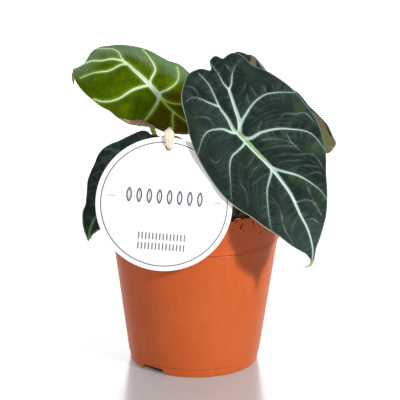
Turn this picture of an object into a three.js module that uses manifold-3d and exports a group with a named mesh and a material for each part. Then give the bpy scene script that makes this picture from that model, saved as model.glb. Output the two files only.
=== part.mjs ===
// Potted velvet-leaved alocasia: four leaf blades on their petioles, a crown in potting mix,
// a tapered nursery pot with a tall collar, and a round card tag tied to one petiole.
// Millimetres, +Z up. The origin is the middle of the pot's underside, on the floor.
import * as THREE from 'three';
import { mergeVertices } from 'three/addons/utils/BufferGeometryUtils.js';
import Module from 'manifold-3d';

const wasm = await Module();
wasm.setup();

// ---- driving dimensions ----
const POT_HEIGHT = 112;
const RIM_RADIUS = 60;
const RIM_EDGE = 0.5;
const COLLAR_BOTTOM = 87.2;
const COLLAR_BOTTOM_RADIUS = 56.7;
const COLLAR_SHOULDER = 1.6;
const BODY_TOP_RADIUS = 55.4;
const BODY_BOTTOM_RADIUS = 44.6;
const BODY_BOTTOM = 6.4;
const FOOT_RADIUS = 42.8;
const FOOT_INNER_RADIUS = 38;
const FOOT_HEIGHT = 5.4;
const FOOT_DRAFT = 0.6;
const HUB_RADIUS = 14;
const HUB_DRAFT = 2;
const FLOOR_UNDERSIDE = 4.6;
const POT_WALL = 1.4;
const POT_FLOOR = FLOOR_UNDERSIDE + POT_WALL;

const DRAIN_COUNT = 8;
const DRAIN_RADIUS = 4;
const DRAIN_CIRCLE = 26;
const NOTCH_ANGLES = [-133.5, 46.5];
const NOTCH_HALF_ANGLE = 14.5;
const NOTCH_FLARE = 3;
const NOTCH_HEIGHT = 4.6;
const NOTCH_ARC_STEPS = 6;
const SLOT = { depth: 9, width: 7, height: 3.4, bottom: 4.1 };
const CUT_OVERRUN = 3;

const SOIL_RIM_LEVEL = 108.4;
const SOIL_SHOULDER_RADIUS = 42;
const SOIL_CROWN_LEVEL = 112;
const CROWN_RADIUS = 9.4;
const CROWN_BOTTOM_RADIUS = 7.8;
const CROWN_TOP = 116;
const CROWN_BOTTOM = 88;
const CROWN_BEVEL = 0.9;

const BLADE_THICKNESS = 0.6;
const BLADE_CELLS = 16;
const PETIOLE_SIDES = 10;
const PETIOLE_STEPS = 22;
const PETIOLE_BASE_RADIUS = 3.3;
const PETIOLE_TOP_RADIUS = 1.7;
const PETIOLE_SWELL_FALL = 5;
const PETIOLE_SPREAD = 5.3;
const PETIOLE_STRAIGHT = 4;
const PETIOLE_APPROACH = 3;

const TAG_RADIUS = 43;
const TAG_THICKNESS = 0.6;
const TAG_CENTRE = [-19.1, -59.5, 123];
const TAG_LEAN = 5;
const TAG_TURN = -4;
const TAG_HOLE_RADIUS = 2.4;
const TAG_HOLE_FROM_CENTRE = 36.4;

const TIE_X = -16.6;
const TIE_THICKNESS = 1.3;
const TIE_WIDTH_AT_HOLE = 3;
const TIE_WIDTH_AT_FRONT = 5.6;
const TIE_WIDEST_AT = 0.16;
const TIE_SIDES = 8;
const TIE_STEPS = 40;

const CLEARANCE = 0.3;
const LATHE_SEGMENTS = 48;

// ---- materials ----
const paint = (color, roughness) => new THREE.MeshStandardMaterial({ color, roughness, metalness: 0 });
const POT_PLASTIC = paint(0xce5f32, 0.5);
const POTTING_MIX = paint(0x33251a, 0.95);
const CROWN_TISSUE = paint(0x6f7a3a, 0.7);
const PETIOLE_TISSUE = paint(0xa3ab3c, 0.5);
const DARK_BLADE = paint(0x2c413b, 0.7);
const YOUNG_BLADE = paint(0x4d7010, 0.6);
const TAG_CARD = paint(0xf7f7f7, 0.6);
const RAFFIA = paint(0xecd3a2, 0.8);

const object = new THREE.Group();

function addPart(name, geometry, material) {
  const mesh = new THREE.Mesh(geometry, material);
  mesh.name = name;
  object.add(mesh);
  return mesh;
}

// ---- joins and cuts ----
function toSolid(geometry) {
  const bare = geometry.index ? geometry.clone() : geometry;
  bare.deleteAttribute('normal');
  bare.deleteAttribute('uv');
  const merged = mergeVertices(bare, 1e-4);
  return new wasm.Manifold(new wasm.Mesh({
    numProp: 3,
    vertProperties: new Float32Array(merged.attributes.position.array),
    triVerts: new Uint32Array(merged.index.array),
  }));
}

function toGeometry(solid) {
  const mesh = solid.getMesh();
  const geometry = new THREE.BufferGeometry();
  geometry.setAttribute('position', new THREE.BufferAttribute(mesh.vertProperties, 3));
  geometry.setIndex(new THREE.BufferAttribute(mesh.triVerts, 1));
  geometry.computeVertexNormals();
  return geometry;
}

// A lathe turns round +Y, so it is laid over to stand on +Z. A profile is [radius, height] pairs.
function latheGeometry(profile) {
  const points = profile.map(([radius, height]) => new THREE.Vector2(radius, height));
  const geometry = new THREE.LatheGeometry(points, LATHE_SEGMENTS);
  geometry.rotateX(Math.PI / 2);
  return geometry;
}

// ---- nursery pot ----
const taper = (low, high, share) => low + (high - low) * share;
const upCollar = (z) => (z - COLLAR_BOTTOM) / (POT_HEIGHT - COLLAR_BOTTOM);
const collarRadius = (z) => taper(COLLAR_BOTTOM_RADIUS, RIM_RADIUS, upCollar(z));
const COLLAR_SHOULDER_LEVEL = COLLAR_BOTTOM + COLLAR_SHOULDER;

// Outer skin from the hub up to the rim, then the inner skin back down to the middle of the floor.
const POT_OUTSIDE = [
  [0, 0],
  [HUB_RADIUS, 0],
  [HUB_RADIUS + HUB_DRAFT, FLOOR_UNDERSIDE],
  [FOOT_INNER_RADIUS - HUB_DRAFT, FLOOR_UNDERSIDE],
  [FOOT_INNER_RADIUS, 0],
  [FOOT_RADIUS, 0],
  [FOOT_RADIUS + FOOT_DRAFT, FOOT_HEIGHT],
  [BODY_BOTTOM_RADIUS, BODY_BOTTOM],
  [BODY_TOP_RADIUS, COLLAR_BOTTOM],
  [COLLAR_BOTTOM_RADIUS, COLLAR_BOTTOM + CLEARANCE],
  [RIM_RADIUS, POT_HEIGHT - RIM_EDGE],
  [RIM_RADIUS - RIM_EDGE, POT_HEIGHT],
];
const POT_INSIDE = [
  [RIM_RADIUS - POT_WALL, POT_HEIGHT],
  [COLLAR_BOTTOM_RADIUS - POT_WALL, COLLAR_SHOULDER_LEVEL],
  [BODY_TOP_RADIUS - POT_WALL, COLLAR_BOTTOM],
  [BODY_BOTTOM_RADIUS - POT_WALL, BODY_BOTTOM + POT_WALL],
  [BODY_BOTTOM_RADIUS - 2 * POT_WALL, POT_FLOOR],
  [HUB_RADIUS + HUB_DRAFT / 2, POT_FLOOR],
  [HUB_RADIUS - HUB_DRAFT / 2, POT_WALL],
  [0, POT_WALL],
];

// A slab cut out of the foot ring: a ring sector whose end walls flare outwards.
function notchCutter(middle) {
  const inner = FOOT_INNER_RADIUS - CUT_OVERRUN;
  const outer = BODY_BOTTOM_RADIUS + CUT_OVERRUN;
  const narrow = THREE.MathUtils.degToRad(NOTCH_HALF_ANGLE);
  const wide = THREE.MathUtils.degToRad(NOTCH_HALF_ANGLE + NOTCH_FLARE);
  const shape = new THREE.Shape();
  shape.moveTo(inner * Math.cos(-narrow), inner * Math.sin(-narrow));
  for (let i = 0; i <= NOTCH_ARC_STEPS; i += 1) {
    const angle = wide * (2 * i / NOTCH_ARC_STEPS - 1);
    shape.lineTo(outer * Math.cos(angle), outer * Math.sin(angle));
  }
  for (let i = NOTCH_ARC_STEPS; i > 0; i -= 1) {
    const angle = narrow * (2 * i / NOTCH_ARC_STEPS - 1);
    shape.lineTo(inner * Math.cos(angle), inner * Math.sin(angle));
  }
  const depth = NOTCH_HEIGHT + CUT_OVERRUN;
  const cutter = new THREE.ExtrudeGeometry(shape, { depth, bevelEnabled: false });
  cutter.translate(0, 0, -CUT_OVERRUN);
  cutter.rotateZ(THREE.MathUtils.degToRad(middle));
  return cutter;
}

// The drain slot in the corner of wall and floor, in the middle of a notch.
function slotCutter(middle) {
  const cutter = new THREE.BoxGeometry(SLOT.depth, SLOT.width, SLOT.height);
  cutter.translate(FOOT_RADIUS, 0, SLOT.bottom + SLOT.height / 2);
  cutter.rotateZ(THREE.MathUtils.degToRad(middle));
  return cutter;
}

function drainCutter(index) {
  const angle = 2 * Math.PI * (index + 0.5) / DRAIN_COUNT;
  const cutter = new THREE.CylinderGeometry(DRAIN_RADIUS, DRAIN_RADIUS, POT_WALL + 2 * CUT_OVERRUN, 16);
  cutter.rotateX(Math.PI / 2);
  cutter.translate(DRAIN_CIRCLE * Math.cos(angle), DRAIN_CIRCLE * Math.sin(angle), POT_FLOOR);
  return cutter;
}

function makePot() {
  let solid = toSolid(latheGeometry([...POT_OUTSIDE, ...POT_INSIDE]));
  for (const middle of NOTCH_ANGLES) {
    solid = solid.subtract(toSolid(notchCutter(middle)));
    solid = solid.subtract(toSolid(slotCutter(middle)));
  }
  for (let i = 0; i < DRAIN_COUNT; i += 1) {
    solid = solid.subtract(toSolid(drainCutter(i)));
  }
  return toGeometry(solid);
}
addPart('nursery_pot', makePot(), POT_PLASTIC);

// ---- potting mix, with a pocket for the crown ----
// Each point lies a clearance in and up from the pot's inner skin, as far as the rim level.
const FILL = POT_WALL + CLEARANCE;
const SOIL = [
  [0, POT_WALL + CLEARANCE],
  [HUB_RADIUS - HUB_DRAFT / 2 - CLEARANCE, POT_WALL + CLEARANCE],
  [HUB_RADIUS + HUB_DRAFT / 2 - CLEARANCE, POT_FLOOR + CLEARANCE],
  [BODY_BOTTOM_RADIUS - POT_WALL - FILL, POT_FLOOR + CLEARANCE],
  [BODY_BOTTOM_RADIUS - FILL, BODY_BOTTOM + FILL],
  [BODY_TOP_RADIUS - FILL, COLLAR_BOTTOM + CLEARANCE],
  [COLLAR_BOTTOM_RADIUS - FILL, COLLAR_SHOULDER_LEVEL + CLEARANCE],
  [collarRadius(SOIL_RIM_LEVEL) - FILL - CLEARANCE, SOIL_RIM_LEVEL],
  [SOIL_SHOULDER_RADIUS, taper(SOIL_RIM_LEVEL, SOIL_CROWN_LEVEL, 0.5)],
  [CROWN_RADIUS + CLEARANCE, SOIL_CROWN_LEVEL],
  [CROWN_BOTTOM_RADIUS + CLEARANCE, CROWN_BOTTOM - CLEARANCE],
  [0, CROWN_BOTTOM - CLEARANCE],
];
addPart('potting_mix', latheGeometry(SOIL), POTTING_MIX);

// ---- crown: the short stem that the petioles grow from ----
const CROWN = [
  [0, CROWN_BOTTOM],
  [CROWN_BOTTOM_RADIUS, CROWN_BOTTOM],
  [CROWN_RADIUS, SOIL_CROWN_LEVEL],
  [CROWN_RADIUS, CROWN_TOP - 2 * CROWN_BEVEL],
  [CROWN_RADIUS - CROWN_BEVEL, CROWN_TOP],
  [0, CROWN_TOP],
];
addPart('crown', latheGeometry(CROWN), CROWN_TISSUE);

// ---- leaves ----
// A blade is laid out flat first: u to its right, v from the junction with the petiole to the tip.
// It is then hung at the junction, facing its own way, and droops away from the junction.
// Outlines start at the tip and run down the left side, round the basal lobes and up the right.
const LEAVES = [
  {
    name: 'front_right',
    material: DARK_BLADE,
    root: [1, -1],
    junction: [26, -68, 170.5],
    facing: [-0.17, -0.98, -0.04],
    tipwards: [0.455, -0.046, -0.889],
    middle: [-10, 12],
    droop: { side: 0.0026, tip: 0.0009, base: 0.0022 },
    outline: [
      [-0.5, 97.5], [-3.5, 94], [-8.5, 90], [-17, 81], [-25.5, 70.5], [-32, 59], [-37.5, 46.5], [-42, 36],
      [-45, 25], [-46.5, 13.5], [-44, 0], [-40, -14], [-32.5, -26.5], [-24.5, -34], [-21.5, -42],
      [-17, -45.5], [-11, -45], [-5.5, -48.5], [-2.5, -47], [-1, -42], [3.5, -45], [7.5, -46],
      [13, -45.5], [17.5, -42], [23, -35], [26.5, -20.5], [30, -8.5], [31, 4.5], [29, 26.5], [24, 42],
      [16, 55], [7.5, 70], [2, 80.5], [-0.5, 87.5], [-0.3, 93],
    ],
    petiole: [[4.5, -8, 132], [9, -25, 157], [17, -43, 171], [24.5, -57, 173]],
  },
  {
    name: 'upper_left',
    material: YOUNG_BLADE,
    root: [-1, 1],
    junction: [-24.3, -22, 184.6],
    facing: [-0.10, -0.80, 0.60],
    tipwards: [-0.82, 0.41, 0.41],
    middle: [1, 14],
    droop: { side: 0.005, tip: 0.0035, base: 0.004 },
    outline: [
      [-9.5, 65], [-13.5, 62.5], [-19.5, 49.5], [-23, 38.5], [-25, 29], [-25, 21.5], [-25.5, 13],
      [-25.5, 4], [-20, -12.5], [-15.5, -21.5], [-11, -29.5], [-5, -34.5], [1, -35.5], [4.5, -29],
      [9, -34], [16, -31.5], [22, -23], [25, -14], [25.5, -5], [27, 4], [25, 13], [24.5, 23.5],
      [24, 33.5], [21, 43.5], [17.5, 52], [12, 59.5], [5.5, 61.5], [-3.5, 60.5],
    ],
    petiole: [
      [-7, 4.5, 130], [-12, -1, 140], [-21.5, -8, 152], [-29.8, -11, 160.5], [-32.5, -12.5, 168.5],
      [-28.5, -14.5, 179],
    ],
  },
  {
    name: 'lower_left',
    material: DARK_BLADE,
    root: [-1, -1],
    junction: [-36, -43, 144],
    facing: [-0.42, -0.86, 0.28],
    tipwards: [-0.5, 0.1, -0.85],
    middle: [4, 15],
    droop: { side: 0.004, tip: 0.0014, base: 0.003 },
    outline: [
      [2.5, 62.5], [1, 56], [-3, 50.5], [-9, 44], [-15, 36], [-19, 26], [-20.5, 14], [-20, 1],
      [-18, -9], [-13, -16], [-7, -20], [-2.5, -22.5], [1.5, -20], [5.5, -21.5], [10, -20.5],
      [14.5, -17.5], [18, -11], [23.5, -3], [27.5, 3], [30, 9.5], [30, 15], [28, 20.5], [26.5, 27],
      [26, 32.5], [21.5, 38], [17, 43.5], [16, 48.5], [14, 52], [7, 59.5],
    ],
    petiole: [
      [-3.5, -9, 130], [-4.5, -24, 146], [-8, -38, 157], [-13, -43.5, 162], [-18.5, -42.5, 163.5],
      [-25, -38, 160], [-31, -36, 152],
    ],
  },
  {
    name: 'back_right',
    material: DARK_BLADE,
    root: [1, 1],
    junction: [49, 18, 181],
    facing: [0.55, 0.52, 0.65],
    tipwards: [0.76, -0.05, -0.65],
    middle: [-3, 8],
    droop: { side: 0.0025, tip: 0.0015, base: 0.004 },
    outline: [
      [4, 58.5], [-7, 57.5], [-16, 51], [-24, 41], [-29, 28], [-31, 14], [-30, 0], [-28, -14],
      [-22, -27], [-12, -34], [-4, -34], [0, -27], [7, -33], [17, -35.5], [25, -36.5], [30, -36.5],
      [33.5, -33], [35.5, -28], [36, -23], [25, -12.5], [20, 0], [23, 10], [28, 18], [28, 31],
      [25.5, 44], [18.5, 51.5], [11, 55.5],
    ],
    petiole: [[5, 4, 134], [14, 5, 152], [30, 8, 168], [43, 12, 174]],
  },
];

// The blade's own axes: right, towards the tip, and out of its upper face.
function bladeAxes(leaf) {
  const out = new THREE.Vector3(...leaf.facing).normalize();
  const tip = new THREE.Vector3(...leaf.tipwards);
  tip.addScaledVector(out, -tip.dot(out)).normalize();
  const right = new THREE.Vector3().crossVectors(tip, out);
  return { right, tip, out };
}

function bladePoint(leaf, axes, u, v) {
  const along = v > 0 ? leaf.droop.tip : leaf.droop.base;
  const drop = leaf.droop.side * u * u + along * v * v;
  return new THREE.Vector3(...leaf.junction)
    .addScaledVector(axes.right, u)
    .addScaledVector(axes.tip, v)
    .addScaledVector(axes.out, -drop);
}

function bladeNormal(leaf, axes, u, v) {
  const step = 0.5;
  const acrossLeaf = bladePoint(leaf, axes, u + step, v).sub(bladePoint(leaf, axes, u - step, v));
  const alongLeaf = bladePoint(leaf, axes, u, v + step).sub(bladePoint(leaf, axes, u, v - step));
  return acrossLeaf.cross(alongLeaf).normalize();
}

// How far round a closed curve the direction (x, y) points, from 0 to 1.
const shareOfTurn = (x, y) => (Math.atan2(y, x) / (2 * Math.PI) + 1) % 1;

// A square slab, whose square is first rounded to a disc and then stretched to the outline.
function bladeGeometry(leaf) {
  const corners = leaf.outline.map(([u, v]) => new THREE.Vector3(u, v, 0));
  const outline = new THREE.CatmullRomCurve3(corners, true, 'centripetal');
  const axes = bladeAxes(leaf);
  const slab = new THREE.BoxGeometry(2, 2, 2, BLADE_CELLS, BLADE_CELLS, 1);
  const position = slab.attributes.position;
  for (let i = 0; i < position.count; i += 1) {
    const x = position.getX(i);
    const y = position.getY(i);
    const discX = x * Math.sqrt(1 - y * y / 2);
    const discY = y * Math.sqrt(1 - x * x / 2);
    const reach = Math.min(1, Math.hypot(discX, discY));
    const edge = outline.getPointAt(shareOfTurn(discX, discY));
    const u = taper(leaf.middle[0], edge.x, reach);
    const v = taper(leaf.middle[1], edge.y, reach);
    const place = bladePoint(leaf, axes, u, v);
    place.addScaledVector(bladeNormal(leaf, axes, u, v), position.getZ(i) * BLADE_THICKNESS / 2);
    position.setXYZ(i, place.x, place.y, place.z);
  }
  slab.computeVertexNormals();
  return slab;
}

// A petiole grows out of the crown and meets its blade's underside square on, a hair short of it.
function petioleGeometry(leaf) {
  const axes = bladeAxes(leaf);
  const junction = new THREE.Vector3(...leaf.junction);
  const [rootX, rootY] = leaf.root.map((side) => side * PETIOLE_SPREAD / Math.SQRT2);
  const shortOfBlade = BLADE_THICKNESS / 2 + 1.3 * CLEARANCE;
  const route = [
    new THREE.Vector3(rootX, rootY, CROWN_TOP + CLEARANCE),
    new THREE.Vector3(rootX, rootY, CROWN_TOP + PETIOLE_STRAIGHT),
    ...leaf.petiole.map((point) => new THREE.Vector3(...point)),
    junction.clone().addScaledVector(axes.out, -PETIOLE_APPROACH),
    junction.clone().addScaledVector(axes.out, -shortOfBlade),
  ];
  return sweptTube(new THREE.CatmullRomCurve3(route, false, 'centripetal'));
}

// A closed cylinder bent along a curve, wide at the foot where it sheathes the crown.
function sweptTube(curve) {
  const frames = curve.computeFrenetFrames(PETIOLE_STEPS, false);
  const tube = new THREE.CylinderGeometry(1, 1, 1, PETIOLE_SIDES, PETIOLE_STEPS);
  const position = tube.attributes.position;
  for (let i = 0; i < position.count; i += 1) {
    const along = position.getY(i) + 0.5;
    const step = Math.round(along * PETIOLE_STEPS);
    const radius = taper(PETIOLE_TOP_RADIUS, PETIOLE_BASE_RADIUS, Math.exp(-along * PETIOLE_SWELL_FALL));
    const place = curve.getPointAt(along)
      .addScaledVector(frames.normals[step], -position.getX(i) * radius)
      .addScaledVector(frames.binormals[step], position.getZ(i) * radius);
    position.setXYZ(i, place.x, place.y, place.z);
  }
  tube.computeVertexNormals();
  return tube;
}

for (const leaf of LEAVES) {
  addPart(`petiole_${leaf.name}`, petioleGeometry(leaf), PETIOLE_TISSUE);
  addPart(`blade_${leaf.name}`, bladeGeometry(leaf), leaf.material);
}

// ---- round card tag, leaning on the rim ----
function tagGeometry() {
  const shape = new THREE.Shape();
  shape.absarc(0, 0, TAG_RADIUS, 0, 2 * Math.PI, false);
  const hole = new THREE.Path();
  hole.absarc(0, TAG_HOLE_FROM_CENTRE, TAG_HOLE_RADIUS, 0, 2 * Math.PI, true);
  shape.holes.push(hole);
  const geometry = new THREE.ExtrudeGeometry(shape, {
    depth: TAG_THICKNESS,
    bevelEnabled: false,
    curveSegments: 32,
  });
  geometry.translate(0, 0, -TAG_THICKNESS / 2);
  return geometry;
}
const tag = addPart('round_tag', tagGeometry(), TAG_CARD);
tag.rotation.set(
  THREE.MathUtils.degToRad(90 - TAG_LEAN),
  0,
  THREE.MathUtils.degToRad(TAG_TURN),
);
tag.position.set(...TAG_CENTRE);

// ---- raffia tie: one flat loop through the tag's hole, over its edge and round a petiole ----
// [y, z] round the loop, starting in the hole and going up the front of the tag.
const TIE_ROUTE = [
  [-56.7, 158.9], [-59.1, 159.6], [-60.1, 163], [-58.9, 168], [-55, 170.6], [-48, 169.8],
  [-41, 167.6], [-39.2, 164], [-41, 160.6], [-47, 158.8], [-53, 158.4],
];

// A torus of unit tube radius, whose ring is bent to the route and whose tube is flattened.
function tieGeometry() {
  const ringRadius = 4;
  const route = TIE_ROUTE.map(([y, z]) => new THREE.Vector3(0, y, z));
  const loop = new THREE.CatmullRomCurve3(route, true, 'centripetal');
  const ring = new THREE.TorusGeometry(ringRadius, 1, TIE_SIDES, TIE_STEPS);
  const position = ring.attributes.position;
  for (let i = 0; i < position.count; i += 1) {
    const turn = shareOfTurn(position.getX(i), position.getY(i));
    const outwards = Math.hypot(position.getX(i), position.getY(i)) - ringRadius;
    const sideways = position.getZ(i);
    const tangent = loop.getTangentAt(turn);
    const away = new THREE.Vector3(0, tangent.z, -tangent.y);
    const bulge = Math.max(0, Math.cos((turn - TIE_WIDEST_AT) * 2 * Math.PI));
    const width = taper(TIE_WIDTH_AT_HOLE, TIE_WIDTH_AT_FRONT, bulge);
    const place = loop.getPointAt(turn).addScaledVector(away, -outwards * TIE_THICKNESS / 2);
    position.setXYZ(i, TIE_X - sideways * width / 2, place.y, place.z);
  }
  ring.computeVertexNormals();
  return ring;
}
addPart('raffia_tie', tieGeometry(), RAFFIA);

export default object;
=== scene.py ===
# %% [markdown]
# # Potted black velvet alocasia
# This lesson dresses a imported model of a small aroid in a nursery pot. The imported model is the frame:
# it says where each piece is and how large it is. Each cell below replaces one of its plain solids with
# a piece that has the surface of the real thing. Lengths are in metres, and leaves are drawn in
# millimetres on flat paper before they are hung.

# %% Load the frame
import math
import random

import bpy
import numpy as np
from mathutils import Matrix, Vector, noise


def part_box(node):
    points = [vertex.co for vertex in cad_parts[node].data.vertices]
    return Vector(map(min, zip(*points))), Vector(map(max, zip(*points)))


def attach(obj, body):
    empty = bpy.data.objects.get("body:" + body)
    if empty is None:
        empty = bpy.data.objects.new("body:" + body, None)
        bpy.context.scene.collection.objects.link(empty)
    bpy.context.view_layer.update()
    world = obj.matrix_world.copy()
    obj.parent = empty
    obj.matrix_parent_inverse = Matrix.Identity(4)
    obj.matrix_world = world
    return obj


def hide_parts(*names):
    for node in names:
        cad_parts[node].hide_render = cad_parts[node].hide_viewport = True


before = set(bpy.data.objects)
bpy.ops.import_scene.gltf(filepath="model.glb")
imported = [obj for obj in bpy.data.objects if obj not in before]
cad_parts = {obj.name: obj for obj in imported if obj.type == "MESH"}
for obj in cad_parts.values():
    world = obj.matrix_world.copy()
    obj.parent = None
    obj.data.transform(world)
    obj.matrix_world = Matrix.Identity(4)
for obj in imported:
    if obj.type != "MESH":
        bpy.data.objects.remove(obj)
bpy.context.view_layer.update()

MM = 0.001
BODY = "root"
POT_LOW, POT_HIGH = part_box("nursery_pot")
print("frame", len(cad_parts), "nodes, pot", round(POT_HIGH[2] / MM, 1), "mm tall")

# %% [markdown]
# ## Camera
# The camera comes first, so that each piece can be looked at as soon as it is made. It stands a metre
# away with a long lens, a little above the plant, and is rolled by less than a degree.

# %% Camera
CAMERA_DISTANCE = 1.0
CAMERA_ELEVATION = math.radians(14.87)
CAMERA_ROLL = math.radians(0.65)
CAMERA_TARGET = Vector((0.0029, 0, 0.1098))
LENS_MM = 134.8
SENSOR_MM = 36


def make_camera():
    """A long lens that looks along +Y and down at the middle of the plant."""
    data = bpy.data.cameras.new("camera")
    data.lens = LENS_MM
    data.sensor_width = SENSOR_MM
    camera = bpy.data.objects.new("camera", data)
    bpy.context.scene.collection.objects.link(camera)
    away = Vector((0, -math.cos(CAMERA_ELEVATION), math.sin(CAMERA_ELEVATION)))
    tilt = Matrix.Rotation(math.pi / 2 - CAMERA_ELEVATION, 3, "X")
    roll = Matrix.Rotation(CAMERA_ROLL, 3, "Z")
    camera.location = CAMERA_TARGET + away * CAMERA_DISTANCE
    camera.rotation_euler = (tilt @ roll).to_euler()
    bpy.context.scene.camera = camera
    return camera


print("camera at", [round(n, 3) for n in make_camera().location])

# %% [markdown]
# ## Working by hand, in code
# Operators act on whatever is selected, so the first helper always starts from an empty selection.
# A finished piece is named, set to ride on the body, given its finish, and says which plain solid it
# stands for.

# %% Helpers for modelling


def only(*pieces):
    """Selects these pieces and nothing else, and makes the first one active."""
    bpy.ops.object.select_all(action="DESELECT")
    for piece in pieces:
        piece.select_set(True)
    bpy.context.view_layer.objects.active = pieces[0]
    return pieces[0]


def add(primitive, **settings):
    """Adds one primitive, with nothing else selected, and gives it back."""
    bpy.ops.object.select_all(action="DESELECT")
    primitive(**settings)
    return bpy.context.object


def edit(piece, select="DESELECT"):
    only(piece)
    bpy.ops.object.mode_set(mode="EDIT")
    bpy.ops.mesh.select_all(action=select)


def object_mode():
    bpy.ops.object.mode_set(mode="OBJECT")


def settle(piece):
    """Puts the piece's place, turn and size into its mesh."""
    only(piece)
    bpy.ops.object.transform_apply(location=True, rotation=True, scale=True)


def modify(piece, kind, **settings):
    """Adds one modifier and applies it."""
    only(piece)
    modifier = piece.modifiers.new(kind.lower(), kind)
    for name, value in settings.items():
        setattr(modifier, name, value)
    bpy.ops.object.modifier_apply(modifier=modifier.name)


def smooth(piece, degrees):
    only(piece)
    bpy.ops.object.shade_smooth_by_angle(angle=math.radians(degrees))


def outwards(piece):
    edit(piece, "SELECT")
    bpy.ops.mesh.normals_make_consistent(inside=False)
    object_mode()


def paint(piece, *finishes):
    for finish in finishes:
        piece.data.materials.append(finish)


def adopt(piece, name, nodes=()):
    """Names a painted piece and hands it to the frame."""
    piece.name = name
    piece.data.name = name
    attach(piece, BODY)
    if nodes:
        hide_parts(*nodes)
    triangles = sum(len(p.vertices) - 2 for p in piece.data.polygons)
    print(name, "has", triangles, "triangles")
    return piece


def points_of(piece):
    """The piece's points as an array that can be worked on all at once."""
    flat = np.empty(len(piece.data.vertices) * 3)
    piece.data.vertices.foreach_get("co", flat)
    return flat.reshape(-1, 3)


def move_points(piece, places):
    piece.data.vertices.foreach_set("co", np.ascontiguousarray(places).ravel())
    piece.data.update()


def remember(piece, name, values):
    """Keeps one number per point, for a material to read."""
    attribute = piece.data.attributes.new(name, "FLOAT", "POINT")
    attribute.data.foreach_set("value", np.asarray(values, dtype=np.float32))


def write_paper(piece, flat):
    """Keeps the flat places, in millimetres, as the piece's only UV map."""
    while piece.data.uv_layers:
        piece.data.uv_layers.remove(piece.data.uv_layers[0])
    paper = piece.data.uv_layers.new(name="flat")
    corners = np.empty(len(piece.data.loops), dtype=np.int32)
    piece.data.loops.foreach_get("vertex_index", corners)
    paper.data.foreach_set("uv", flat[corners].ravel().astype(np.float32))


def unit(vector):
    vector = np.array(vector, dtype=float)
    return vector / np.linalg.norm(vector)


def bell(distance, reach):
    """1 where the distance is 0, and hardly anything past twice the reach."""
    return np.exp(-((distance / reach) ** 2))


def round_sheet(cells):
    """A flat grid with this many cells each way, and its points' places on a disc of radius 1."""
    piece = add(bpy.ops.mesh.primitive_grid_add, x_subdivisions=cells, y_subdivisions=cells, size=2)
    square = points_of(piece)[:, :2]
    return piece, square * np.sqrt(1 - square[:, ::-1] ** 2 / 2)


print("helpers ready")

# %% [markdown]
# ## Smooth paths
# Leaf margins, veins, petioles and the raffia are all drawn as a few points with a smooth path through
# them. A centripetal path never loops back on itself where points lie close together, which suits
# margins with nicks in them. The path is then stepped along evenly.

# %% Smooth paths
STEPS_PER_SPAN = 7
FINE_STEPS = 1201


def smooth_path(points, closed=False, count=None):
    """Points along a centripetal path. With a count, they are that many even steps."""
    p = np.array(points, dtype=float)
    ring = np.vstack([p[-1], p, p[:2]]) if closed else np.vstack([2 * p[0] - p[1], p, 2 * p[-1] - p[-2]])
    t = np.linspace(0, 1, STEPS_PER_SPAN, endpoint=False)[:, None]
    spans = []
    for a, b, c, d in zip(ring, ring[1:], ring[2:], ring[3:]):
        before, here, after = (max(np.linalg.norm(q - r), 1e-9) ** 0.5 for q, r in ((a, b), (b, c), (c, d)))
        leave = here * ((b - a) / before - (c - a) / (before + here)) + c - b
        reach = here * ((d - c) / after - (d - b) / (here + after)) + c - b
        bend = (3 * (c - b) - 2 * leave - reach) * t**2
        spans.append(b + leave * t + bend + (2 * (b - c) + leave + reach) * t**3)
    path = np.vstack([*spans, p[0] if closed else p[-1]])
    if count is None:
        return path
    travelled = lengths(path)
    return look_up(np.linspace(0, travelled[-1], count), travelled, path)


def lengths(path):
    """How far along the path each of its points is."""
    return np.concatenate([[0], np.cumsum(np.linalg.norm(np.diff(path, axis=0), axis=1))])


def look_up(wanted, known, path):
    """The path's places at the wanted steps, where the steps of its own points are known."""
    return np.stack([np.interp(wanted, known, axis) for axis in path.T], axis=1)


def part_way(share, loop):
    """The places that are these shares of the way round an evenly stepped loop."""
    return look_up(share % 1, np.linspace(0, 1, len(loop)), loop)


def distance_to(path, places):
    """For each place: its distance to the path, how far along the nearest point is, and on which side."""
    travelled = lengths(path)
    best = np.full(len(places), np.inf)
    along = np.zeros(len(places))
    side = np.zeros(len(places))
    for start, end, offset in zip(path, path[1:], travelled):
        span = end - start
        length = max(np.linalg.norm(span), 1e-9)
        from_start = places - start
        share = np.clip(from_start @ span / length**2, 0, 1)
        gap = np.linalg.norm(from_start - share[:, None] * span, axis=1)
        nearer = gap < best
        best[nearer] = gap[nearer]
        along[nearer] = offset + share[nearer] * length
        side[nearer] = (span[0] * from_start[:, 1] - span[1] * from_start[:, 0])[nearer]
    return best, along, side


print("a path of 3 points has", len(smooth_path([(0, 0), (1, 1), (2, 0)])), "steps")

# %% [markdown]
# ## Finishes
# A material is a small calculation that runs at each point of a surface. Written as nodes it is hard to
# read, so one class wraps a node's output and lets it be added, multiplied and compared as a number
# would be. A second class holds a material and makes any other node.

# %% A class for shader maths


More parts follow.
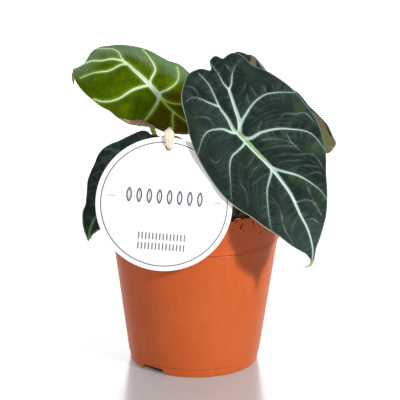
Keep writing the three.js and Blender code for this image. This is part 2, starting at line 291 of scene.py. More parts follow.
class Flow:
    """A value on its way through a material. Arithmetic on it adds Math nodes."""

    def __init__(self, finish, socket):
        self.finish = finish
        self.socket = socket

    def math(self, operation, *others):
        return self.finish.node("Math", {"operation": operation}, dict(enumerate((self, *others))))

    def __add__(self, other):
        return self.math("ADD", other)

    def __sub__(self, other):
        return self.math("SUBTRACT", other)

    def __mul__(self, other):
        return self.math("MULTIPLY", other)

    def __pow__(self, other):
        return self.math("POWER", other)

    def __rsub__(self, other):
        return self.math("MULTIPLY", -1) + other

    __radd__ = __add__
    __rmul__ = __mul__

    def __abs__(self):
        return self.math("ABSOLUTE")

    def at_least(self, other):
        return self.math("MAXIMUM", other)

    def ease(self, start, end):
        """0 before start, 1 after end, and a soft step between. Start may be the larger."""
        ends = {"Value": self, "From Min": min(start, end), "From Max": max(start, end)}
        rise = self.finish.node("MapRange", {"interpolation_type": "SMOOTHSTEP"}, ends)
        return rise if start < end else 1 - rise


class Finish:
    """A material with one Principled shader, whose constant sockets are set by name."""

    def __init__(self, name, constants):
        self.material = bpy.data.materials.new(name)
        self.material.use_nodes = True
        self.tree = self.material.node_tree
        self.tree.nodes.clear()
        output = self.tree.nodes.new("ShaderNodeOutputMaterial")
        self.shader = self.tree.nodes.new("ShaderNodeBsdfPrincipled")
        self.tree.links.new(self.shader.outputs[0], output.inputs[0])
        for socket, value in constants.items():
            self.shader.inputs[socket].default_value = value

    def node(self, kind, settings, sockets, output=0):
        """Adds a node of this kind, with its settings first and then its sockets' values or links."""
        node = self.tree.nodes.new("ShaderNode" + kind)
        for name, value in settings.items():
            setattr(node, name, value)
        for name, value in sockets.items():
            self.feed(node.inputs[name], value)
        return Flow(self, node.outputs[output])

    def feed(self, socket, value):
        if isinstance(value, Flow):
            self.tree.links.new(value.socket, socket)
        else:
            socket.default_value = value

    def attribute(self, name):
        return self.node("Attribute", {"attribute_name": name}, {}, "Fac")

    def place(self):
        return self.node("TexCoord", {}, {}, "Object")

    def noise_on(self, vector, scale, detail, roughness=0.5):
        """Cloudy noise from 0 to 1, with about this many blobs to each unit of the vector."""
        sockets = {"Vector": vector, "Scale": scale, "Detail": detail, "Roughness": roughness}
        return self.node("TexNoise", {}, sockets)

    def noise(self, size_mm, detail, vector=None, roughness=0.5):
        """The same on the object itself, with blobs of about this size."""
        return self.noise_on(vector or self.place(), 1 / (size_mm * MM), detail, roughness)

    def blend(self, low, high, share):
        """Mixes two colours, which may be values or links."""
        low, high = (c if isinstance(c, Flow) else (*c, 1) for c in (low, high))
        return self.node("Mix", {"data_type": "RGBA"}, {0: share, 6: low, 7: high}, 2)

    def coat(self, body, coats):
        """Lays colours over a body colour one after another, each with its own share."""
        for colour, share in coats:
            body = self.blend(body, colour, share)
        return body

    def set(self, socket, value):
        self.feed(self.shader.inputs[socket], value)

    def bump(self, height, depth_mm):
        """Height is 0 to 1 over this depth."""
        relief = self.node("Bump", {}, {"Height": height * (depth_mm * MM), "Distance": 1.0})
        self.set("Normal", relief)


print("finishes can be made")

# %% [markdown]
# ### Terracotta-coloured plastic
# The pot is thin injection-moulded polypropylene: satin, with fine scuffs and with faint flow streaks
# that run up the wall. Its colour is strong, so most of the look is in its soft gloss.

# %% Pot plastic
TERRACOTTA = (0.60, 0.106, 0.017)
TERRACOTTA_PALE = (0.67, 0.140, 0.030)


def pot_plastic():
    finish = Finish("pot_plastic", {"Roughness": 0.42, "Specular IOR Level": 0.32})
    streaks = finish.node("Mapping", {}, {"Vector": finish.place(), "Scale": (1, 1, 0.06)})
    flow = finish.noise(2.5, 4, streaks)
    cloud = finish.noise(28, 3)
    scuff = finish.noise(0.9, 5, roughness=0.7).ease(0.6, 0.72)
    share = (flow * 0.55 + cloud * 0.45).ease(0.35, 0.72)
    finish.set("Base Color", finish.blend(TERRACOTTA, TERRACOTTA_PALE, share * 0.55))
    finish.set("Roughness", flow * 0.08 + scuff * 0.10 + 0.36)
    finish.bump(flow * 0.5 + finish.noise(0.5, 3) * 0.5, 0.02)
    return finish.material


POT_PLASTIC = pot_plastic()
print("made", POT_PLASTIC.name)

# %% [markdown]
# ## Nursery pot
# The pot is a turned shape with parts cut away. One ring of edges is extruded along the outline of the
# wall: from the hub, out over the foot, up the body, out at the collar, over the rim and down the
# inside again. The rings at corners are bevelled, as mould edges are, and then the notches in the foot
# and the drain holes are cut with cutters that are thrown away.

# %% Nursery pot
POT_SIDES = 160
POT_HEIGHT = POT_HIGH[2]
RIM_RADIUS = POT_HIGH[0]
WALL = 1.4 * MM
HUB_RADIUS = 14 * MM
FLOOR_UNDERSIDE = 4.6 * MM
FLOOR_TOP = FLOOR_UNDERSIDE + WALL
FOOT_INNER_RADIUS = 38 * MM
FOOT_RADIUS = 42.8 * MM
FOOT_ROUND = 1.6 * MM
FOOT_HEIGHT = 5.4 * MM
FOOT_TOP_RADIUS = 43.9 * MM
BODY_BOTTOM = 6.2 * MM
BODY_BOTTOM_RADIUS = 44.5 * MM
BODY_TOP_RADIUS = 55.4 * MM
COLLAR_BOTTOM = 87.2 * MM
COLLAR_BOTTOM_RADIUS = 56.7 * MM
EDGE_ROUND = 0.45 * MM
NOTCH_ANGLES = (-128.6, 51.4)
NOTCH_HEIGHT = 3.9 * MM
NOTCH_FLARE = 1.6
NOTCH_WIDTH = 15.6 * MM
NOTCH_DEPTH = 12 * MM
NOTCH_OUT = (FOOT_INNER_RADIUS + FOOT_RADIUS) / 2 + 1 * MM
DRAINS = 8
DRAIN_RADIUS = 4 * MM
DRAIN_CIRCLE = 26 * MM
CUTTER_LENGTH = 8 * MM

POT_PROFILE = [
    (HUB_RADIUS + 2 * MM, FLOOR_UNDERSIDE),
    (FOOT_INNER_RADIUS - 2 * MM, FLOOR_UNDERSIDE),
    (FOOT_INNER_RADIUS, 0),
    (FOOT_RADIUS, 0),
    (FOOT_RADIUS + 0.7 * MM, FOOT_ROUND),
    (FOOT_TOP_RADIUS, FOOT_HEIGHT),
    (BODY_BOTTOM_RADIUS, BODY_BOTTOM),
    (BODY_TOP_RADIUS, COLLAR_BOTTOM - 1.2 * MM),
    (BODY_TOP_RADIUS - 0.5 * MM, COLLAR_BOTTOM),
    (COLLAR_BOTTOM_RADIUS, COLLAR_BOTTOM + 0.1 * MM),
    (COLLAR_BOTTOM_RADIUS + 0.1 * MM, COLLAR_BOTTOM + 0.9 * MM),
    (COLLAR_BOTTOM_RADIUS - 0.1 * MM, COLLAR_BOTTOM + 1.5 * MM),
    (RIM_RADIUS, POT_HEIGHT),
    (RIM_RADIUS - WALL, POT_HEIGHT),
    (COLLAR_BOTTOM_RADIUS - WALL, COLLAR_BOTTOM + 1.6 * MM),
    (BODY_TOP_RADIUS - WALL, COLLAR_BOTTOM),
    (BODY_BOTTOM_RADIUS - WALL, BODY_BOTTOM + WALL),
    (BODY_BOTTOM_RADIUS - 2 * WALL, FLOOR_TOP),
    (HUB_RADIUS + 1 * MM, FLOOR_TOP),
    (HUB_RADIUS - 1 * MM, WALL),
]


def extrude_rings(radius, height, profile):
    """Goes from a selected ring of that radius and height along the profile, one extrusion a step."""
    for next_radius, next_height in profile:
        rise = {"value": (0, 0, next_height - height)}
        bpy.ops.mesh.extrude_region_move(TRANSFORM_OT_translate=rise)
        grow = next_radius / radius
        bpy.ops.transform.resize(value=(grow, grow, 1), center_override=(0, 0, 0))
        radius, height = next_radius, next_height


def turned(sides, radius, height, profile):
    """A closed turned shape, from its bottom face to its last ring."""
    piece = add(bpy.ops.mesh.primitive_circle_add, vertices=sides, radius=radius, location=(0, 0, height))
    settle(piece)
    edit(piece, "SELECT")
    extrude_rings(radius, height, profile)
    bpy.ops.mesh.edge_face_add()
    bpy.ops.mesh.select_all(action="DESELECT")
    bpy.ops.mesh.select_non_manifold()
    bpy.ops.mesh.edge_face_add()
    object_mode()
    outwards(piece)
    return piece


def round_corners(piece, width, degrees=25, segments=3):
    modify(piece, "BEVEL", width=width, segments=segments, limit_method="ANGLE",
           angle_limit=math.radians(degrees))


def cut(piece, cutter):
    modify(piece, "BOOLEAN", operation="DIFFERENCE", solver="EXACT", object=cutter)
    bpy.data.objects.remove(cutter)


def foot_notch(turn):
    """A gap in the foot ring with leaning ends and rounded corners."""
    notch = add(bpy.ops.mesh.primitive_cube_add, size=1, location=(NOTCH_OUT, 0, 0))
    bpy.ops.transform.resize(value=(NOTCH_DEPTH, NOTCH_WIDTH, 2 * NOTCH_HEIGHT))
    settle(notch)
    for corner in notch.data.vertices:
        if corner.co.z < 0:
            corner.co.y *= NOTCH_FLARE
    modify(notch, "BEVEL", width=1.0 * MM, segments=3, limit_method="ANGLE")
    notch.rotation_euler = (0, 0, math.radians(turn))
    settle(notch)
    return notch


def make_pot():
    pot = turned(POT_SIDES, HUB_RADIUS, 0, POT_PROFILE)
    round_corners(pot, EDGE_ROUND)
    for turn in NOTCH_ANGLES:
        cut(pot, foot_notch(turn))
    for step in range(DRAINS):
        turn = 2 * math.pi * (step + 0.5) / DRAINS
        place = (DRAIN_CIRCLE * math.cos(turn), DRAIN_CIRCLE * math.sin(turn), FLOOR_TOP)
        drain = add(bpy.ops.mesh.primitive_cylinder_add, vertices=24, radius=DRAIN_RADIUS,
                    depth=CUTTER_LENGTH, location=place)
        settle(drain)
        cut(pot, drain)
    smooth(pot, 30)
    paint(pot, POT_PLASTIC)
    return adopt(pot, "pot", ["nursery_pot"])


make_pot()

# %% [markdown]
# ### Velvet leaf
# The upper face is near black and blue-green. Its cells stand up as tiny cones, so light catches it
# only at a glance: that is sheen, not gloss. The veins are pale mint, with hairs that leave them at a
# slant and soft bands beyond those. The leaf keeps its distance to the veins and to its margin at each
# point, in millimetres, and the colours are drawn from those distances, so that their edges stay sharp.
# Light and shade are painted in as well: paler patches on the left half and towards the tip, darker
# skin beside the main veins and on the right half, and a pale margin line that is brighter on the
# lower left. A leaf that hangs in shadow gets a darker copy with fainter veins, which is painted shade.

# %% Velvet leaf
VELVET_DARK = (0.005, 0.013, 0.009)
VELVET_BLUE = (0.018, 0.038, 0.030)
VELVET_PAINTED_LIGHT = (0.052, 0.082, 0.072)
VELVET_GREEN = (0.026, 0.066, 0.012)
VELVET_BAND = (0.055, 0.095, 0.080)
# The shaded colours are painted shade for the leaf that hangs in shadow: darker, with fainter veins and rib.
SHADED_DARK = (0.005, 0.011, 0.006)
SHADED_BLUE = (0.012, 0.026, 0.018)
VEIN_MINT = (0.60, 0.78, 0.68)
VEIN_SHADED = (0.10, 0.17, 0.13)
RIB_GREEN = (0.40, 0.62, 0.22)
RIB_SHADED = (0.26, 0.40, 0.13)
HAIR_SLANT = 0.3
HAIR_LENGTH = 3.0
HAIRS_PER_MM = 0.5
BANDS_PER_MM = 0.28
RAG = 0.5
FLUSH_POINT = (35, -27.9)


def split(finish, vector):
    """The first two numbers of a vector."""
    return [finish.node("SeparateXYZ", {}, {"Vector": vector}, axis) for axis in (0, 1)]


def paper_of(finish):
    """The flat place on the leaf, in millimetres: as one vector, and as u and v."""
    paper = finish.node("UVMap", {"uv_map": "flat"}, {})
    return paper, *split(finish, paper)


def side_veins(finish):
    """Hairs that leave the main veins, and soft bands beyond them, each from 0 to 1."""
    gap = finish.attribute("vein")
    slant = finish.attribute("along") - gap * HAIR_SLANT
    lone = finish.attribute("lone").ease(0.6, 1.6)
    root = {"W": slant, "Scale": HAIRS_PER_MM, "Randomness": 1.0}
    distance = finish.node("TexVoronoi", {"voronoi_dimensions": "1D"}, root, 0)
    length = finish.node("TexVoronoi", {"voronoi_dimensions": "1D"}, root, 1)
    hair = distance.ease(0.10, 0.02) * (gap - length * HAIR_LENGTH).ease(0.0, -2.0) * lone
    across = {"W": slant, "Scale": BANDS_PER_MM, "Detail": 2.0}
    band = finish.node("TexNoise", {"noise_dimensions": "1D"}, across)
    return hair, band.ease(0.42, 0.66) * gap.ease(9.0, 1.0) * lone


def vein_edge(finish, paper):
    """The distance to the nearest vein's edge, made a little ragged."""
    return finish.attribute("vein") + (finish.noise_on(paper, 1.6, 3) - 0.5) * RAG


def velvet(name, dark, mid, vein_colour, rib_colour, painted_light_share, tip_from=None):
    finish = Finish(name, {
        "Roughness": 0.6,
        "Specular IOR Level": 0.16,
        "Sheen Weight": 0.10,
        "Sheen Roughness": 0.4,
        "Sheen Tint": (0.75, 0.95, 0.92, 1),
    })
    paper, u, v = paper_of(finish)
    vein = vein_edge(finish, paper)
    hair, band = side_veins(finish)
    fine, arc, margin, rib = (finish.attribute(kept) for kept in ("fine", "arc", "margin", "rib"))
    cloud = finish.noise_on(paper, 0.11, 5, 0.6)
    grain = finish.noise_on(paper, 2.4, 3)
    patch = finish.noise_on(paper, 0.06, 4)
    faint = finish.noise_on(paper, 0.16, 2).ease(0.38, 0.62)
    # Painted light: paler patches on the left half and towards the tip.
    painted_light = (u.ease(-14, 14) * 0.4).at_least(v.ease(60, 82)) * (cloud * 0.5 + grain * 0.5)
    # The margin's own pale line, painted brighter on the lower left as a highlight where the edge catches
    # light.
    edge_line_and_highlight = u.ease(0, 14) * (v.ease(15, 45) * 0.5 + 0.3) + 0.16
    coats = [
        (VELVET_PAINTED_LIGHT, painted_light * painted_light_share),
        # Painted shade: darker beside the main veins, where they lie in grooves, and on the right half.
        (dark, (vein.ease(6, 1) * 0.35).at_least(u.ease(-10, -34) * painted_light_share * 0.45)),
        (VELVET_GREEN, patch.ease(0.50, 0.66) * 0.5),
        (VELVET_BAND, band * 0.38),
        (VELVET_BAND, fine.ease(1.4, 0.0) * (faint * 0.35 + 0.20)),
        (vein_colour, fine.ease(0.42, 0.08) * (faint * 0.15 + 0.06)),
        (VELVET_BAND, arc.ease(0.9, 0.0) * (faint * 0.30 + 0.15)),
        (vein_colour, hair * 0.22),
        (VELVET_BAND, vein.ease(1.3, 0.0) * 0.55),
        (vein_colour, margin.ease(0.8, 0.25) * edge_line_and_highlight),
    ]
    if tip_from:
        coats.append((rib_colour, margin.ease(1.3, 0.5) * v.ease(tip_from, tip_from + 6) * 0.7))
    coats += [(vein_colour, vein.ease(0.05, -0.27)), (rib_colour, rib.ease(0.2, 0.75))]
    body = finish.blend(dark, mid, (cloud * 0.65 + grain * 0.35).ease(0.32, 0.70))
    finish.set("Base Color", finish.coat(body, coats))
    finish.bump(finish.noise_on(paper, 3.2, 4) + band, 0.16)
    return finish.material


def underside(name, tan, rose, rib, flush=None, olive=None):
    """The lower face is paler and browner, smooth, with its veins standing out as ribs.

    A flushed one is dark along its upper margins, apart from a narrow wedge, and olive beside them.
    """
    finish = Finish(name, {"Roughness": 0.5, "Specular IOR Level": 0.3})
    paper, u, v = paper_of(finish)
    cloud = finish.noise_on(paper, 0.09, 4)
    grain = finish.noise_on(paper, 1.5, 4)
    drift = (cloud - 0.5) * 6
    rag = (grain - 0.5) * 1.5
    coats = [
        (rib, finish.attribute("fine").ease(0.7, 0.1) * 0.35),
        (rib, finish.attribute("vein").ease(0.7, -0.1) * 0.8),
    ]
    if flush:
        beside, above = u - FLUSH_POINT[0], v - FLUSH_POINT[1]
        away = abs(beside * 0.443 + above * 1.245 + rag)
        wedge = (away - (above * 0.70 - beside * 0.286) * 0.15).ease(1.0, 1.8)
        dark = (u + v * 0.33 + rag).ease(33.8, 35).at_least((v + drift).ease(30, 26))
        coats += [(olive, (u - v * 0.2 + drift).ease(8, -2) * 0.6), (flush, dark * wedge)]
    body = finish.blend(tan, rose, (cloud * 0.75 + grain * 0.25).ease(0.35, 0.68))
    finish.set("Base Color", finish.coat(body, coats))
    finish.bump(grain, 0.12)
    return finish.material


DARK_UPPER = velvet("dark_blade_upper", VELVET_DARK, VELVET_BLUE, VEIN_MINT, RIB_GREEN, 0.8)
# The lower-left leaf gets the shaded copy, with almost no painted light: painted shade.
SHADED_UPPER = velvet("dark_blade_shaded", SHADED_DARK, SHADED_BLUE, VEIN_SHADED, RIB_SHADED, 0.1, tip_from=44)
DARK_UNDER = underside("dark_blade_under", (0.34, 0.27, 0.11), (0.38, 0.23, 0.14), (0.42, 0.40, 0.16))
FLUSHED_UNDER = underside("dark_blade_flushed", (0.46, 0.43, 0.25), (0.50, 0.36, 0.22), (0.42, 0.46, 0.22),
                          flush=(0.028, 0.080, 0.062), olive=(0.32, 0.46, 0.19))
print("made", DARK_UPPER.name, "and", DARK_UNDER.name)

# %% [markdown]
# ### Young leaf
# A leaf that has just hardened is still bright green where light comes through it, with an olive-brown
# base. A blue-grey sheen is painted towards the upper margin, where the blade turns away, and the fine
# veins show in it; the margin is edged in the same blue-grey. The skin beside its veins is lighter.

# %% Young leaf
YOUNG_GREEN = (0.056, 0.100, 0.0005)
YOUNG_LIGHT = (0.112, 0.190, 0.001)
# Blue-grey: painted sheen near the upper margin, and the pale line along the margin.
YOUNG_SHEEN_AND_EDGE = (0.165, 0.265, 0.150)
YOUNG_BROWN = (0.078, 0.058, 0.001)
YOUNG_VEIN = (0.78, 0.93, 0.68)
YOUNG_VEIN_LOW = (0.44, 0.62, 0.13)
YOUNG_GLOW = (0.20, 0.38, 0.02)
YOUNG_EDGE = (0.30, 0.17, 0.08)


def young_leaf():
    finish = Finish("young_blade_upper", {"Roughness": 0.45, "Specular IOR Level": 0.02})
    paper, u, v = paper_of(finish)
    vein = vein_edge(finish, paper)
    hair, band = side_veins(finish)
    margin = finish.attribute("margin")
    cloud = finish.noise_on(paper, 0.13, 5, 0.6)
    grain = finish.noise_on(paper, 2.2, 3)
    drift = (cloud - 0.5) * 12
    low = (v * -1 - u * 0.2 + drift).ease(-1.0, 11.0)
    # Painted sheen: towards the upper margin, where the blade turns away.
    high = (u + v * 0.42 + drift).ease(4.0, 18.0) * (margin + drift).ease(14.0, 3.0)
    vein_colour = finish.blend(YOUNG_VEIN, YOUNG_VEIN_LOW, low.ease(0.05, 0.45))
    body = finish.blend(YOUNG_GREEN, YOUNG_LIGHT, (cloud * 0.7 + grain * 0.3).ease(0.38, 0.72))
    finish.set("Base Color", finish.coat(body, [
        (YOUNG_BROWN, low * 0.95),
        # The painted sheen, and the fine veins that show in it.
        (YOUNG_SHEEN_AND_EDGE, high * (grain.ease(0.4, 0.62) * 0.3 + 0.66)),
        (YOUNG_VEIN, finish.attribute("arc").ease(0.5, 0.1) * high * 0.22),
        (YOUNG_LIGHT, band * 0.18),
        (YOUNG_GLOW, vein.ease(2.4, 0.0) * (0.65 - low * 0.35)),
        (YOUNG_EDGE, (margin + (grain - 0.5) * 1.2).ease(2.2, 0.8) * low * 0.6),
        (YOUNG_SHEEN_AND_EDGE, margin.ease(1.0, 0.3) * (0.45 - low * 0.3)),
        (vein_colour, hair * 0.25),
        (vein_colour, vein.ease(0.32, -0.18)),
    ]))
    finish.bump(finish.noise_on(paper, 2.6, 4) + band, 0.12)
    return finish.material


YOUNG_UPPER = young_leaf()
YOUNG_UNDER = underside("young_blade_under", (0.50, 0.40, 0.24), (0.30, 0.17, 0.12), (0.42, 0.40, 0.18))
print("made", YOUNG_UPPER.name, "and", YOUNG_UNDER.name)

# %% [markdown]
# ## Leaf blades
# A blade is drawn flat first: u to its right and v towards its tip, from the point where the petiole
# joins it. A grid is rounded to a disc and stretched to the drawn margin, which keeps its rows even.
# Veins lie in grooves, the skin between them swells up, and the margin waves and rolls. The sheet is
# then hung where the plant holds it, drooping away from its petiole, and given its thickness, which is
# greater under the veins, because those stand out as ribs below.

